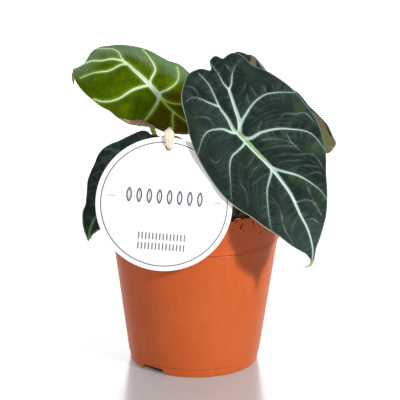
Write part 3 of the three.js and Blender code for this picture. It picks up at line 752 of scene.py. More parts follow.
# %% The four blades, drawn flat
# The junction is in millimetres from the middle of the pot's foot, and the middle is where the margin is
# stretched from. Bulges, pulls and rolls are each a place, a reach and a size. The rib's green fades along
# it. Each vein is its width at the start and at the end, and its points.
BLADES = {
    "front_right": {
        "cells": 190,
        "junction": (26, -68, 170.5),
        "facing": (-0.17, -0.98, -0.04),
        "tipwards": (0.455, -0.046, -0.889),
        "middle": (-10, 12),
        "bulges": [(10, 66, 14, 13), (-27, 72, 14, -8)],
        "pulls": [(-1, 82, 8, 6.3), (-22, 70, 13, -8.3), (29, -12, 14, 1.8), (12, 66, 7, -2.7),
                  (4, 76, 6, 3.6), (-12, 84, 6, -3.3), (24, 42, 8, -4)],
        "rib": ((0, 18, 40), (1, 0.85, 0)),
        "neighbours": [(1, 2), (2, 3), (5, 6), (6, 7), (8, 5), (10, 1)],
        "droop": (0.0026, 0.0009, 0.0022),
        "margin": [
            (-3.9, 95.6), (-5.3, 94.6), (-7.7, 91.6), (-10.3, 88.2), (-14.4, 84.5), (-20.2, 78.2),
            (-24.8, 72.2), (-31, 60.3), (-36.8, 47), (-42, 36), (-45, 25), (-46.5, 13.5), (-44, 0),
            (-40, -14), (-32.4, -27), (-25.8, -34.4), (-23.5, -40.5), (-20.8, -44.5), (-17.5, -46),
            (-14.4, -46), (-11, -45.2), (-7.8, -48.2), (-5.5, -48.5), (-2.5, -47), (-1, -42), (3.5, -45),
            (7.5, -46), (13, -45.5), (17.5, -42), (23, -35), (26.5, -20.5), (30, -8.5), (31, 4.5),
            (29, 26.5), (23.5, 40.8), (14.3, 52.9), (5.2, 66.8), (3.7, 71.8), (2, 78.4), (-0.7, 84.7),
            (-2.5, 87.8), (-3.1, 90.2), (-3.4, 93),
        ],
        "veins": [
            (3.6, 0.9, [(0, 0), (-2, 6.5), (-5, 16.5), (-9, 30), (-12, 48), (-11.5, 63.5), (-11, 75),
                        (-8, 87.5), (-4, 94.5)]),
            (2.3, 0.6, [(-0.5, -0.5), (-5, -5.5), (-10, -9), (-17, -13), (-25.5, -14.5), (-32.5, -12.5),
                        (-42, -7.5)]),
            (2.3, 0.5, [(-2, 4.5), (-5.5, 6), (-13, 5.5), (-22.5, 7.5), (-29.5, 11), (-39.5, 19),
                        (-43, 32.5)]),
            (2.1, 0.5, [(-9, 28.5), (-10.5, 30), (-18.5, 37), (-24, 44), (-28.5, 55.5), (-29, 64)]),
            (0.8, 0.3, [(-12, 51), (-13, 55), (-17.5, 56.5), (-21, 59.5), (-22, 71.5)]),
            (2.1, 0.5, [(0, 0), (3, -1.5), (7.5, -6), (12.5, -8), (17, -8.5), (21.5, -6.5), (31, 3)]),
            (1.9, 0.5, [(-2, 5.5), (-0.5, 7.5), (5.5, 10), (10, 11.5), (14, 16), (20, 29), (23, 36.5)]),
            (1.7, 0.5, [(-9, 28), (-7, 31.5), (-4, 35), (-0.5, 39.5), (3, 48), (7.5, 66)]),
            (2.8, 0.6, [(0, 0), (1.5, -1.5), (2, -11), (3.5, -19), (3.5, -34), (6.5, -43)]),
            (1.5, 0.4, [(3.5, -19.5), (7.5, -23.5), (12.5, -29), (16.5, -31.5), (21, -31)]),
            (3, 1.8, [(0, 0), (-1, -0.5), (-4, -7), (-5, -14.5), (-6, -22), (-6.5, -26.5)]),
            (1.5, 0.4, [(-6.5, -26.5), (-9.5, -29.5), (-12.5, -34.5), (-17, -38.5), (-22, -40)]),
            (1.3, 0.4, [(-6.5, -26.5), (-5, -31.5), (-4.5, -37.5), (-2.5, -45.5)]),
        ],
        "fine": [
            [(-6, 10), (-12, 10), (-21.5, 14), (-27.5, 20), (-30.5, 27.5)],
            [(-8.5, 15.5), (-18, 17), (-27, 21.5), (-30, 25)],
            [(-8.5, 21.5), (-18, 23), (-26.5, 27), (-35.5, 31.5), (-37, 41.5), (-36.5, 46.5)],
            [(-11, 26), (-21, 28.5), (-29.5, 32.5)],
            [(-20, 34), (-28, 35.5), (-35, 40.5)],
            [(-26.5, 10.5), (-27, 17.5), (-30.5, 27.5)],
            [(-26, 42.5), (-33, 43), (-35, 48.5)],
            [(-24, 44.5), (-22.5, 55.5), (-22, 70)],
            [(-2.5, 17), (2, 20), (6.5, 22)],
            [(-3.5, 23.5), (1, 24.5), (6, 28.5)],
            [(-6, 30.5), (-1, 31), (7.5, 33)],
            [(11.5, 25), (13, 30), (12, 34.5), (15.5, 47)],
            [(-1, 43.5), (-3, 52.5), (-0.5, 66), (0, 74), (2, 81)],
            [(-9.5, 64.5), (-5, 67), (-3, 71)],
            [(-12, 68.5), (-16.5, 70.5), (-18.5, 77)],
            [(-26.5, 2.5), (-31.5, 1), (-37, 4), (-42, 6), (-45.5, 17)],
            [(-9.5, 4.5), (-13.5, 1.5), (-17.5, -1.5)],
            [(22.5, -20.5), (16.5, -19), (12.5, -16), (11.5, -8)],
            [(18.5, -40), (13.5, -37), (12, -31.5)],
            [(-11, -42), (-12, -38), (-12, -34)],
            [(-11.5, -21), (-16, -24), (-19, -27)],
            [(-20, -24.5), (-20, -19.5), (-20.5, -15.5)],
            [(-16, -20), (-14.5, -16.5), (-15, -13)],
            [(-32, -18.5), (-31, -14)],
            [(-27, -21), (-26.5, -16)],
            [(23.5, 6), (21.5, 11), (14.5, 8.5)],
        ],
    },
    "upper_left": {
        "cells": 160,
        "junction": (-24.3, -22, 184.6),
        "facing": (-0.10, -0.80, 0.60),
        "tipwards": (-0.82, 0.41, 0.41),
        "middle": (1, 14),
        "rolls": [(-27, -1, 10.5, 5.4)],
        "rib": ((0, 1), (0, 0)),
        "neighbours": [(2, 3), (1, 4), (4, 5), (3, 9)],
        "droop": (0.005, 0.0035, 0.004),
        "margin": [
            (-9.9, 65.6), (-12.2, 63.8), (-14.7, 61), (-17.2, 57.4), (-19.1, 53.3), (-20.7, 49),
            (-23.6, 38.5), (-25, 29), (-25, 21.5), (-27.3, 12.5), (-29, 3.5), (-26.3, -4.5),
            (-20.4, -12.4), (-16, -22.6), (-12, -29.3), (-5, -34.5), (1, -35.5), (4.5, -29), (9, -34),
            (16, -31.5), (22, -23), (25, -14), (25.5, -5), (27, 4), (25, 13), (24.5, 23.5), (24, 33.5),
            (21, 43.5), (17.5, 52), (12, 59.5), (5.5, 61.5), (1.2, 60.8), (-2.5, 60.6), (-6.3, 62.1),
        ],
        "veins": [
            (3.2, 0.8, [(0, 0), (3.5, 10.5), (7, 25), (9.5, 36), (7.5, 44), (3, 50), (0.5, 55.5), (-3.5, 60),
                        (-10, 65)]),
            (1.0, 0.4, [(9, 34), (11.5, 40), (14, 44.5), (14, 51), (9.5, 60.5)]),
            (1.6, 0.5, [(8.5, 33), (7, 35.5), (-1, 40), (-7.5, 49.5), (-14, 55.5)]),
            (2.0, 0.6, [(3.5, 9.5), (1.5, 11), (-4.5, 16.5), (-15.5, 22), (-21.5, 30), (-23, 37)]),
            (1.6, 0.5, [(3.5, 9), (5.5, 11), (14.5, 13.5), (20, 22.5), (23.5, 31.5)]),
            (1.7, 0.4, [(0, 0), (1.5, 0.5), (6.5, -2.5), (13.5, -4), (19, -2), (24, 3)]),
            (1.3, 0.4, [(0, 0), (-0.5, -7), (1.5, -13), (3, -15.5), (7, -24)]),
            (1.4, 0.4, [(0, 0), (-2, -5.5), (-4, -14.5), (-4.5, -23.5), (-4, -31)]),
            (1.3, 0.8, [(-4, -14.5), (-8, -16.5), (-13.5, -21)]),
            (2.0, 1.1, [(0, 0), (-3.5, -2), (-10, -2.8), (-17, -2.5), (-23, -1)]),
        ],
    },
    "lower_left": {
        "cells": 120,
        "junction": (-36, -43, 144),
        "facing": (-0.42, -0.86, 0.28),
        "tipwards": (-0.5, 0.1, -0.85),
        "middle": (8, 15),
        "rib": ((38, 50), (0, 0.6)),
        "neighbours": [(1, 2), (2, 3), (3, 4), (5, 6), (6, 7)],
        "droop": (0.004, 0.0014, 0.003),
        "margin": [
            (1.9, 62.6), (1.7, 58.8), (0.5, 55.5), (-2.4, 50.3), (-9, 44), (-15, 36), (-19, 26),
            (-20.5, 14), (-20, 1), (-18, -9), (-13, -16), (-8, -21), (-3.8, -22.8), (1.4, -22),
            (5.4, -20), (8.9, -19.8), (13.1, -17.6), (15.6, -14.2), (18, -10.2), (23, -2.2), (25.9, 2.2),
            (28.5, 8.8), (29.3, 14.4), (28.4, 19), (27.2, 25.3), (25.8, 32.3), (22.9, 36.3), (19.2, 40.1),
            (16.4, 44.1), (16, 48.5), (14.3, 51.9), (11.1, 55.5), (6.5, 59.5),
        ],
        "veins": [
            (2.4, 0.7, [(0, 0), (2, 12), (4, 26), (5.6, 44), (5.3, 52.5), (2.6, 61.5)]),
            (1.4, 0.4, [(0.5, 1), (8, -1), (15, 1), (21, 3.5), (27, 7)]),
            (1.3, 0.3, [(1, 5), (10, 7), (18, 11), (24.5, 16.5), (27, 22)]),
            (1.2, 0.3, [(2.5, 16), (10, 20), (17, 26), (22, 33)]),
            (1.0, 0.3, [(4, 30), (9, 35), (13, 42)]),
            (1.3, 0.3, [(0, 0), (-7, 1), (-14, 7), (-18, 14)]),
            (1.2, 0.3, [(2, 14), (-4, 18), (-11, 26), (-14, 34)]),
            (1.0, 0.3, [(4, 28), (-1, 33), (-5, 42)]),
            (1.3, 0.3, [(0, 0), (3, -8), (7, -14), (8, -18)]),
            (1.3, 0.3, [(0, 0), (-3, -8), (-6, -14), (-6, -18)]),
        ],
    },
    "back_right": {
        "cells": 150,
        "junction": (49, 18, 181),
        "facing": (0.55, 0.52, 0.65),
        "tipwards": (0.76, -0.05, -0.65),
        "middle": (-3, 8),
        "rib": ((0, 1), (0, 0)),
        "neighbours": [(1, 2), (2, 3), (4, 5), (5, 6)],
        "droop": (0.0025, 0.0015, 0.004),
        "margin": [
            (-0.6, 57.7), (-8, 57.7), (-16, 51), (-24, 41), (-29, 28), (-31, 14), (-30, 0), (-28, -14),
            (-22, -27), (-12, -34), (-4, -34), (0, -27), (7, -33), (17, -35.2), (24.3, -36.2),
            (28.6, -36.8), (30.9, -33.3), (30.4, -29.8), (34.3, -28.6), (36.1, -25.2), (32.6, -20.8),
            (26.2, -13.7), (19, 0), (26.6, 10), (26.3, 17), (25.8, 22.8), (27.2, 28.3), (26.6, 35),
            (26.6, 40.4), (22.6, 47.1), (17.2, 52), (8.7, 55.9),
        ],
        "veins": [
            (3.0, 0.8, [(0, 0), (1, 12), (1, 28), (3, 44), (4, 56)]),
            (2.0, 0.5, [(0, 1), (-8, -2), (-18, -2), (-28, 6)]),
            (1.9, 0.5, [(1, 8), (-8, 11), (-18, 17), (-27, 29)]),
            (1.7, 0.4, [(1, 24), (-6, 29), (-14, 37), (-18, 47)]),
            (1.9, 0.5, [(0, 1), (8, -2), (14, -1), (19, 3)]),
            (1.8, 0.5, [(1, 8), (9, 11), (18, 17), (25, 26)]),
            (1.7, 0.4, [(1, 24), (8, 29), (16, 37), (20, 48)]),
            (2.2, 0.6, [(0, 0), (-4, -10), (-10, -20), (-14, -31)]),
            (2.2, 0.6, [(0, 0), (5, -10), (14, -21), (27, -32)]),
        ],
    },
}
print("drew", len(BLADES), "blades with", sum(len(b["veins"]) for b in BLADES.values()), "veins")

# %% [markdown]
# ### From a square to a leaf
# These steps work on all the points of a blade at once, in millimetres. Most take the blade's flat
# places and give back one number or one place for each point.

# %% Steps that shape a blade
LEAF_THICKNESS = 0.45
RIB_THICKNESS, RIB_REACH, RIB_LENGTH = 1.7, 1.5, 45
VEIN_THICKNESS, VEIN_REACH = 0.5, 0.8
VEIN_TAPER = 1.6
SWELL_HEIGHT, SWELL_REACH = 1.5, 5.5
SMALL_SWELL_HEIGHT, SMALL_SWELL_REACH = 0.28, 1.4
GROOVE_DEPTH, GROOVE_REACH = 0.35, 0.9
KEEL_DEPTH, KEEL_REACH, KEEL_LENGTH = 0.9, 3.0, 60
WAVE_HEIGHT, WAVE_REACH = 0.9, 7
WAVES, RIPPLES = 5, 11
LUMP_HEIGHT, LUMPS_PER_MM = 0.9, 0.09
MARGIN_TAPER = 6
ROLL_RADIUS = 0.9
RIB_HALF_WIDTH = 1.7
END_FADE = 0.45
ARCS_BETWEEN = 7
ARC_STEPS = 14
FAR = 99.0
VEIN_SHIFT, SIDE_SHIFT = 37.0, 500.0
PULL_WAY = np.array((0, -0.966, 0.257))


def lay_out(blade, disc):
    """Stretches a disc to the blade's margin, and gives back the margin and each point's turn as well."""
    reach = np.minimum(1, np.hypot(disc[:, 0], disc[:, 1]))
    turn = (np.arctan2(disc[:, 1], disc[:, 0]) / (2 * np.pi)) % 1
    margin = smooth_path(blade["margin"], closed=True, count=FINE_STEPS)
    middle = np.array(blade["middle"], dtype=float)
    return middle + (part_way(turn, margin) - middle) * reach[:, None], turn, margin


def between(veins, neighbours):
    """Faint arcs between neighbouring main veins, which run from the midrib towards the margin."""
    rng = random.Random(17)
    found = []
    for first, second in neighbours:
        a, b = (smooth_path(veins[number][2], count=ARC_STEPS) for number in (first, second))
        for step in range(1, ARCS_BETWEEN + 1):
            share = step / (ARCS_BETWEEN + 1) + rng.uniform(-0.04, 0.04)
            start = rng.choice((0, 1, 2, 3))
            found.append((a * (1 - share) + b * share)[start : start + rng.choice((8, 9, 11))])
    return found


def measure_veins(blade, flat):
    """The gap to the nearest main vein's edge, how lone it is, the place along it and the gap to its middle.

    Lone says how much farther away the second nearest vein is, and is 0 past a vein's end. The place
    along a vein differs on its two sides, so that what leaves it differs too.
    """
    gaps = []
    alongs = []
    inner = []
    skin = np.full(len(flat), FAR)
    for number, (start, end, points) in enumerate(blade["veins"]):
        path = smooth_path(points)
        gap, travelled, side = distance_to(path, flat)
        whole = lengths(path)[-1]
        gaps.append(gap - (end + (start - end) * (1 - travelled / whole) ** VEIN_TAPER) / 2)
        alongs.append(travelled + VEIN_SHIFT * number + np.where(side > 0, SIDE_SHIFT, 0.0))
        inner.append((travelled > 0.01) & (travelled < whole - 0.01))
        skin = np.minimum(skin, gap)
    nearest = np.argmin(gaps, axis=0)[None]
    along, clear = (np.take_along_axis(np.array(values), nearest, axis=0)[0] for values in (alongs, inner))
    first, second = np.sort(gaps, axis=0)[:2]
    return first, (second - first) * clear, along, skin


def nearest_of(paths, flat):
    """The distance to the nearest of these fine veins, which fade towards their ends."""
    gaps = []
    for points in paths:
        path = smooth_path(points)
        gap, travelled, _ = distance_to(path, flat)
        gaps.append(gap + END_FADE * np.abs(2 * travelled / lengths(path)[-1] - 1) ** 4)
    return np.min(gaps, axis=0)


def bulge(flat, bulges):
    """Smooth bumps: each is its middle, its radius and its height."""
    height = np.zeros(len(flat))
    for u, v, radius, rise in bulges:
        height += rise * np.exp(-((flat[:, 0] - u) ** 2 + (flat[:, 1] - v) ** 2) / (2 * radius**2))
    return height


def roll_margin(blade, flat, margin, height):
    """Rolls the margin up where the blade says so, round a thin cylinder and then back along the leaf."""
    ahead = np.roll(margin[:-1], -1, axis=0) - np.roll(margin[:-1], 1, axis=0)
    normals = np.stack([ahead[:, 1], -ahead[:, 0]], axis=1)[::4]
    normals /= np.linalg.norm(normals, axis=1)[:, None]
    edge = margin[:-1][::4]
    nearest = ((flat[:, None] - edge[None]) ** 2).sum(axis=2).argmin(axis=1)
    gap = np.linalg.norm(flat - edge[nearest], axis=1)
    past = np.maximum(bulge(edge[nearest], blade.get("rolls", ())) - gap, 0)
    turn = np.minimum(past / ROLL_RADIUS, math.pi)
    back = np.maximum(past - math.pi * ROLL_RADIUS, 0)
    shift = ROLL_RADIUS * np.sin(turn) - back - past
    return flat + normals[nearest] * shift[:, None], height + ROLL_RADIUS * (1 - np.cos(turn))


def relief(flat, skin, fine, margin_gap, midrib, travelled, turn, seed):
    """How far each point stands above the flat sheet: grooves, swollen skin and a waved margin."""
    inner = np.clip(margin_gap / MARGIN_TAPER, 0, 1)
    swell = SWELL_HEIGHT * (1 - bell(skin, SWELL_REACH)) * inner
    small = SMALL_SWELL_HEIGHT * (1 - bell(fine, SMALL_SWELL_REACH)) * inner
    groove = -GROOVE_DEPTH * bell(skin, GROOVE_REACH) * inner
    keel = -KEEL_DEPTH * bell(midrib, KEEL_REACH) * np.exp(-travelled / KEEL_LENGTH)
    ripple = np.sin(math.tau * (WAVES * turn + seed)) + 0.6 * np.sin(math.tau * (RIPPLES * turn + 2.3 * seed))
    wave = WAVE_HEIGHT * np.exp(-margin_gap / WAVE_REACH) * ripple
    lumps = np.array([noise.noise(Vector((u * LUMPS_PER_MM, v * LUMPS_PER_MM, seed * 7))) for u, v in flat])
    return swell + small + groove + keel + wave + LUMP_HEIGHT * lumps * inner


def hang(blade, flat, height):
    """Hangs the flat sheet at its junction, facing its own way and drooping from there.

    Pulls then bring parts of it forward and a little up, or back where they are less than 0.
    """
    out = unit(blade["facing"])
    tip = np.array(blade["tipwards"], dtype=float)
    tip = unit(tip - out * (out @ tip))
    right = np.cross(tip, out)
    u, v = flat.T
    side, tip_droop, base_droop = blade["droop"]
    drop = side * u**2 + np.where(v > 0, tip_droop, base_droop) * v**2
    place = np.array(blade["junction"]) + np.outer(u, right) + np.outer(v, tip) + np.outer(height - drop, out)
    return (place + np.outer(bulge(flat, blade.get("pulls", ())), PULL_WAY)) * MM


print("shaping steps ready")

# %% Make the blades


def make_blade(name, finishes, seed):
    blade = BLADES[name]
    piece, disc = round_sheet(blade["cells"])
    flat, turn, margin = lay_out(blade, disc)
    vein, lone, along, skin = measure_veins(blade, flat)
    arc = nearest_of(between(blade["veins"], blade["neighbours"]), flat)
    fine = nearest_of(blade["fine"], flat) if "fine" in blade else arc
    midrib, travelled, _ = distance_to(smooth_path(blade["veins"][0][2]), flat)
    margin_gap = distance_to(margin[::3], flat)[0]
    height = relief(flat, skin, np.minimum(fine, arc), margin_gap, midrib, travelled, turn, seed)
    height += bulge(flat, blade.get("bulges", ()))
    move_points(piece, hang(blade, *roll_margin(blade, flat, margin, height)))
    green = np.clip(1 - midrib / RIB_HALF_WIDTH, 0, 1) * np.interp(travelled, *blade["rib"])
    kept = {"vein": vein, "lone": lone, "along": along, "fine": fine, "arc": arc, "margin": margin_gap}
    for label, values in {**kept, "rib": green}.items():
        remember(piece, label, values)
    write_paper(piece, flat)
    rib = LEAF_THICKNESS + RIB_THICKNESS * bell(midrib, RIB_REACH) * np.exp(-travelled / RIB_LENGTH)
    rib += VEIN_THICKNESS * bell(skin, VEIN_REACH)
    thickest = float(rib.max())
    group = piece.vertex_groups.new(name="thickness")
    for index, share in enumerate(rib / thickest):
        group.add([index], float(share), "REPLACE")
    paint(piece, *finishes)
    modify(piece, "SOLIDIFY", thickness=thickest * MM, offset=-1, vertex_group="thickness",
           material_offset=1, material_offset_rim=0)
    piece.vertex_groups.clear()
    only(piece)
    bpy.ops.object.shade_smooth()
    return adopt(piece, "leaf_" + name, ["blade_" + name])


make_blade("front_right", [DARK_UPPER, DARK_UNDER], 0.13)
make_blade("upper_left", [YOUNG_UPPER, YOUNG_UNDER], 0.41)
make_blade("lower_left", [SHADED_UPPER, DARK_UNDER], 0.72)
make_blade("back_right", [DARK_UPPER, FLUSHED_UNDER], 0.29)

# %% [markdown]
# ### Tubes
# Petioles and fibres are curves with a round bevel, turned into meshes. The mesh comes out ring by
# ring, so that each point knows how far along and how far round it is.

# %% A tube along a path
FIBRE_SIDES = 4


def tube(name, path, radii, sides):
    """A closed tube along a path, both in metres, with its own radius at each point of the path."""
    data = bpy.data.curves.new(name, "CURVE")
    data.dimensions = "3D"
    data.bevel_depth = 1.0
    data.bevel_resolution = (sides - 4) // 2
    spline = data.splines.new("POLY")
    spline.points.add(len(path) - 1)
    for point, place, radius in zip(spline.points, path, radii):
        point.co = (*place, 1)
        point.radius = radius
    piece = bpy.data.objects.new(name, data)
    bpy.context.scene.collection.objects.link(piece)
    only(piece)
    bpy.ops.object.convert(target="MESH")
    edit(bpy.context.object, "SELECT")
    bpy.ops.mesh.fill_holes(sides=0)
    object_mode()
    return bpy.context.object


print("tubes can be made")

# %% [markdown]
# ### Living stalks
# A petiole is smooth and yellow-green, streaked along its length with darker flecks, and browner where
# it leaves the crown.

# %% Stalk finish
STALK_GREEN = (0.36, 0.44, 0.045)
STALK_YELLOW = (0.54, 0.60, 0.085)
STALK_FLECK = (0.12, 0.10, 0.02)
STALK_BASE = (0.20, 0.10, 0.045)


def stalk():
    finish = Finish("petiole_tissue", {
        "Roughness": 0.42,
        "Specular IOR Level": 0.45,
        "Subsurface Weight": 0.15,
        "Subsurface Radius": (0.002, 0.003, 0.001),
        "Subsurface Scale": 1.0,
    })
    paper = finish.node("UVMap", {"uv_map": "flat"}, {})
    stretch = finish.node("Mapping", {}, {"Vector": paper, "Scale": (1.1, 0.16, 1)})
    streak = finish.noise_on(stretch, 1, 3)
    fleck = finish.noise_on(stretch, 3.2, 2).ease(0.60, 0.70)
    body = finish.blend(STALK_GREEN, STALK_YELLOW, streak.ease(0.35, 0.65))
    coats = [(STALK_FLECK, fleck * 0.5), (STALK_BASE, finish.attribute("base") * 0.8)]
    finish.set("Base Color", finish.coat(body, coats))
    finish.bump(streak, 0.08)
    return finish.material


STALK = stalk()
print("made", STALK.name)

# %% [markdown]
# ### Leaf tips
# A leaf's tip runs out into a thin tail. The front leaf's tail is pale green and curls to one side. The
# young leaf's tail has dried up and hangs down, brown.

# %% Leaf tips
# Each point is its place on the leaf's paper, its height above the leaf, and the tail's radius there.
TAIL_STEPS = 40
TAIL_SIDES = 12
TAILS = {
    "front_right": [(-4.6, 91, -0.6, 0.6), (-4.2, 93.6, -0.2, 1.1), (-2.9, 96, 0, 1.0),
                    (-1, 97, 0.4, 0.75), (1, 96.7, 0.8, 0.45), (2.4, 95.4, 1.0, 0.18)],
    "upper_left": [(-10, 62.8, -0.4, 0.8), (-11.4, 63.3, -0.3, 1.0), (-13.6, 62.5, -0.3, 1.1),
                   (-15.3, 61.4, -0.3, 1.0), (-17.1, 59.7, -0.4, 0.8), (-19.3, 57.5, -0.6, 0.35)],
}


def tail_finish(name, low, high):
    finish = Finish(name, {"Roughness": 0.5, "Specular IOR Level": 0.3})
    finish.set("Base Color", finish.blend(low, high, finish.noise(2.5, 3).ease(0.4, 0.6)))
    return finish.material


def make_tail(name, finish):
    data = np.array(TAILS[name], dtype=float)
    path = smooth_path(data, count=TAIL_STEPS)
    flat, radius = path[:, :2], path[:, 3]
    height = path[:, 2] + bulge(flat, BLADES[name].get("bulges", ()))
    tail = tube("tip_" + name, hang(BLADES[name], flat, height), radius * MM, TAIL_SIDES)
    outwards(tail)
    smooth(tail, 60)
    paint(tail, finish)
    return adopt(tail, "tip_" + name)


make_tail("front_right", tail_finish("pale_tip", (0.22, 0.32, 0.12), (0.45, 0.55, 0.30)))
make_tail("upper_left", tail_finish("dried_tip", (0.22, 0.10, 0.045), (0.42, 0.22, 0.11)))

# %% [markdown]
# ## Petioles
# Each petiole rises from the crown, arches over and meets its blade from below. It is thick and
# grooved at the foot, where it sheathes the next one, then thin and round, and it widens again at the
# top, where it runs out into the ribs of the blade.

# %% Petioles
PETIOLE_SIDES = 20
PETIOLE_STEPS = 90
PETIOLE_SPREAD = 5.3
PETIOLE_FOOT_LEVEL = 112
PETIOLE_STRAIGHT_LEVEL = 120
STALK_RADIUS = 1.65
FOOT_SWELL = 1.9
SHEATH_LENGTH = 26
APPROACH = 4.6
JOIN_DEPTH = 2.4
FOOT_SWELL_LENGTH = 14
JOIN_SWELL = 0.7
JOIN_SWELL_LENGTH = 2.2
GROOVE_SHARE = 0.45
RIDGES = 7
RIDGE_SHARE = 0.035
LUMP_SHARE = 0.05
# Each is the side of the crown that it leaves, and the points of its arch, in millimetres.
PETIOLES = {
    "front_right": ((1, -1), [(4.5, -8, 132), (9, -25, 157), (17, -43, 171), (24.5, -57, 173)]),
    "upper_left": ((-1, 1), [(-8, 4.5, 130), (-14, -1.5, 140), (-25.2, -8, 152), (-28.6, -11, 160.5),
                             (-30, -12.5, 168.5), (-27.5, -14.5, 179)]),
    "lower_left": ((-1, -1), [(-3.5, -9, 130), (-4.5, -24, 146), (-8, -38, 157), (-13, -43.5, 161.4),
                              (-18.5, -42.5, 161.6), (-25, -38, 158), (-31, -36, 151)]),
    "back_right": ((1, 1), [(5, 4, 134), (14, 5, 152), (30, 8, 168), (43, 12, 174)]),
}


def make_petiole(name):
    root, arch = PETIOLES[name]
    blade = BLADES[name]
    out = unit(blade["facing"])
    junction = np.array(blade["junction"])
    foot = [side * PETIOLE_SPREAD / math.sqrt(2) for side in root]
    route = [(*foot, PETIOLE_FOOT_LEVEL), (*foot, PETIOLE_STRAIGHT_LEVEL), *arch,
             tuple(junction - APPROACH * out), tuple(junction - JOIN_DEPTH * out)]
    path = smooth_path(route, count=PETIOLE_STEPS)
    travelled = lengths(path)
    share = travelled / travelled[-1]
    left = travelled[-1] - travelled
    radii = STALK_RADIUS * (1.15 - 0.2 * share) + FOOT_SWELL * np.exp(-travelled / FOOT_SWELL_LENGTH)
    radii += JOIN_SWELL * np.exp(-left / JOIN_SWELL_LENGTH)
    piece = tube("petiole_" + name, path * MM, radii * MM, PETIOLE_SIDES)
    points = points_of(piece)
    ring = np.arange(len(points)) // PETIOLE_SIDES
    centres = path[ring] * MM
    offset = points - centres
    inward = unit([-root[0], -root[1], 0])
    facing = offset @ inward / np.maximum(np.linalg.norm(offset, axis=1), 1e-9)
    groove = 1 - GROOVE_SHARE * bell(travelled[ring], SHEATH_LENGTH) * bell(1 - facing, 0.35)
    angle = np.arctan2(offset @ np.cross(inward, (0, 0, 1)), offset @ inward)
    ridge = 1 + RIDGE_SHARE * np.cos(RIDGES * angle)
    lumps = 1 + LUMP_SHARE * np.sin(travelled[ring] * 0.45 + 2.0 * root[0] + root[1])
    move_points(piece, centres + offset * (groove * ridge * lumps)[:, None])
    remember(piece, "base", np.clip(1 - travelled[ring] / FOOT_SWELL_LENGTH, 0, 1))
    write_paper(piece, np.stack([angle * STALK_RADIUS, travelled[ring]], axis=1))
    outwards(piece)
    smooth(piece, 60)
    paint(piece, STALK)
    return adopt(piece, "petiole_" + name, ["petiole_" + name])


for petiole_name in PETIOLES:
    make_petiole(petiole_name)

# %% [markdown]
# ## Crown
# The crown is the short stem that the petioles leave. It is ringed with the scars of old leaves, and
# what is left of their sheaths makes it brown in streaks.

# %% Crown
CROWN_TOP = 116
CROWN_FOOT = 88
CROWN_RADIUS = 9.4
CROWN_FOOT_RADIUS = 6
CROWN_SCARS = 6
CROWN_STEPS = 48
SCAR_DEPTH = 0.35
SHOULDER, SHOULDER_DROP = 4, 0.28
LUMP_SIZE, LUMPS_PER_M = 0.9, 260


def crown_tissue():
    finish = Finish("crown_tissue", {"Roughness": 0.7, "Specular IOR Level": 0.3})
    band = finish.node("Mapping", {}, {"Vector": finish.place(), "Scale": (1, 1, 0.25)})
    streak = finish.noise(1.4, 4, band)
    body = finish.blend((0.10, 0.12, 0.035), (0.17, 0.075, 0.03), streak.ease(0.4, 0.62))
    finish.set("Base Color", finish.blend(body, (0.035, 0.017, 0.009), finish.noise(3, 3).ease(0.55, 0.7)))
    finish.bump(streak, 0.35)
    return finish.material


def make_crown():
    profile = []
    for step in range(1, CROWN_STEPS + 1):
        height = CROWN_FOOT + (CROWN_TOP - CROWN_FOOT) * step / CROWN_STEPS
        scar = SCAR_DEPTH * abs(math.sin(math.pi * CROWN_SCARS * step / CROWN_STEPS)) ** 0.5
        shoulder = 1 - max(0.0, (height - CROWN_TOP + SHOULDER) / SHOULDER) ** 2 * SHOULDER_DROP
        profile.append(((CROWN_RADIUS - 0.6 + scar) * shoulder * MM, height * MM))
    crown = turned(CROWN_STEPS, CROWN_FOOT_RADIUS * MM, CROWN_FOOT * MM, profile)
    points = points_of(crown)
    for point in points:
        push = noise.noise(Vector(point) * LUMPS_PER_M) * LUMP_SIZE * MM
        around = np.hypot(point[0], point[1])
        if around > 2 * MM:
            point[:2] *= 1 + push / around
    move_points(crown, points)
    smooth(crown, 60)
    paint(crown, crown_tissue())
    return adopt(crown, "crown", ["crown"])


make_crown()

# %% [markdown]
# ### Potting mix
# The mix is damp peat with coir and a little bark, brown on its crumbs and nearly black in its
# hollows: the peat's own dark, deepened with painted shade.

# %% Potting mix finish
PEAT_BLACK = (0.006, 0.004, 0.003)
PEAT_BROWN = (0.050, 0.024, 0.011)
PEAT_STRAW = (0.16, 0.085, 0.035)


def peat(name, low, high, spark):
    finish = Finish(name, {"Roughness": 0.85, "Specular IOR Level": 0.25})
    grain = finish.noise(1.6, 6, roughness=0.65)
    # Darker where the grain, which is also the bump, is low: the material's own dark and painted shade in the
    # hollows.
    body = finish.blend(low, high, grain.ease(0.42, 0.66))
    finish.set("Base Color", finish.blend(body, spark, finish.noise(0.6, 2).ease(0.68, 0.76) * 0.6))
    finish.bump(grain, 0.8)
    return finish.material


PEAT = peat("potting_mix", PEAT_BLACK, PEAT_BROWN, PEAT_STRAW)
BARK = peat("bark_crumbs", (0.012, 0.006, 0.004), (0.085, 0.036, 0.015), PEAT_STRAW)
COIR = peat("coir_fibres", (0.16, 0.062, 0.018), (0.50, 0.22, 0.07), (0.60, 0.34, 0.14))
print("made", PEAT.name, BARK.name, COIR.name)

# %% [markdown]
# ## Potting mix
# The surface is a grid rounded to a disc and roughened at three sizes. Its rim is then extruded down
# inside the pot. Loose crumbs, bark chips and coir fibres are scattered over it, and a few crumbs have
# been left on the rim and on the collar.

# %% Potting mix
SOIL_CELLS = 120
SOIL_RADIUS = 57.6
SOIL_RIM_LEVEL = 108.2
SOIL_MIDDLE_LEVEL = 112.0
SOIL_NECK_LEVEL = 84
SOIL_NECK_RADIUS = 53.2
SOIL_FLOOR_LEVEL = 6.4
SOIL_FLOOR_RADIUS = 41.5
MOUND_REACH = 34
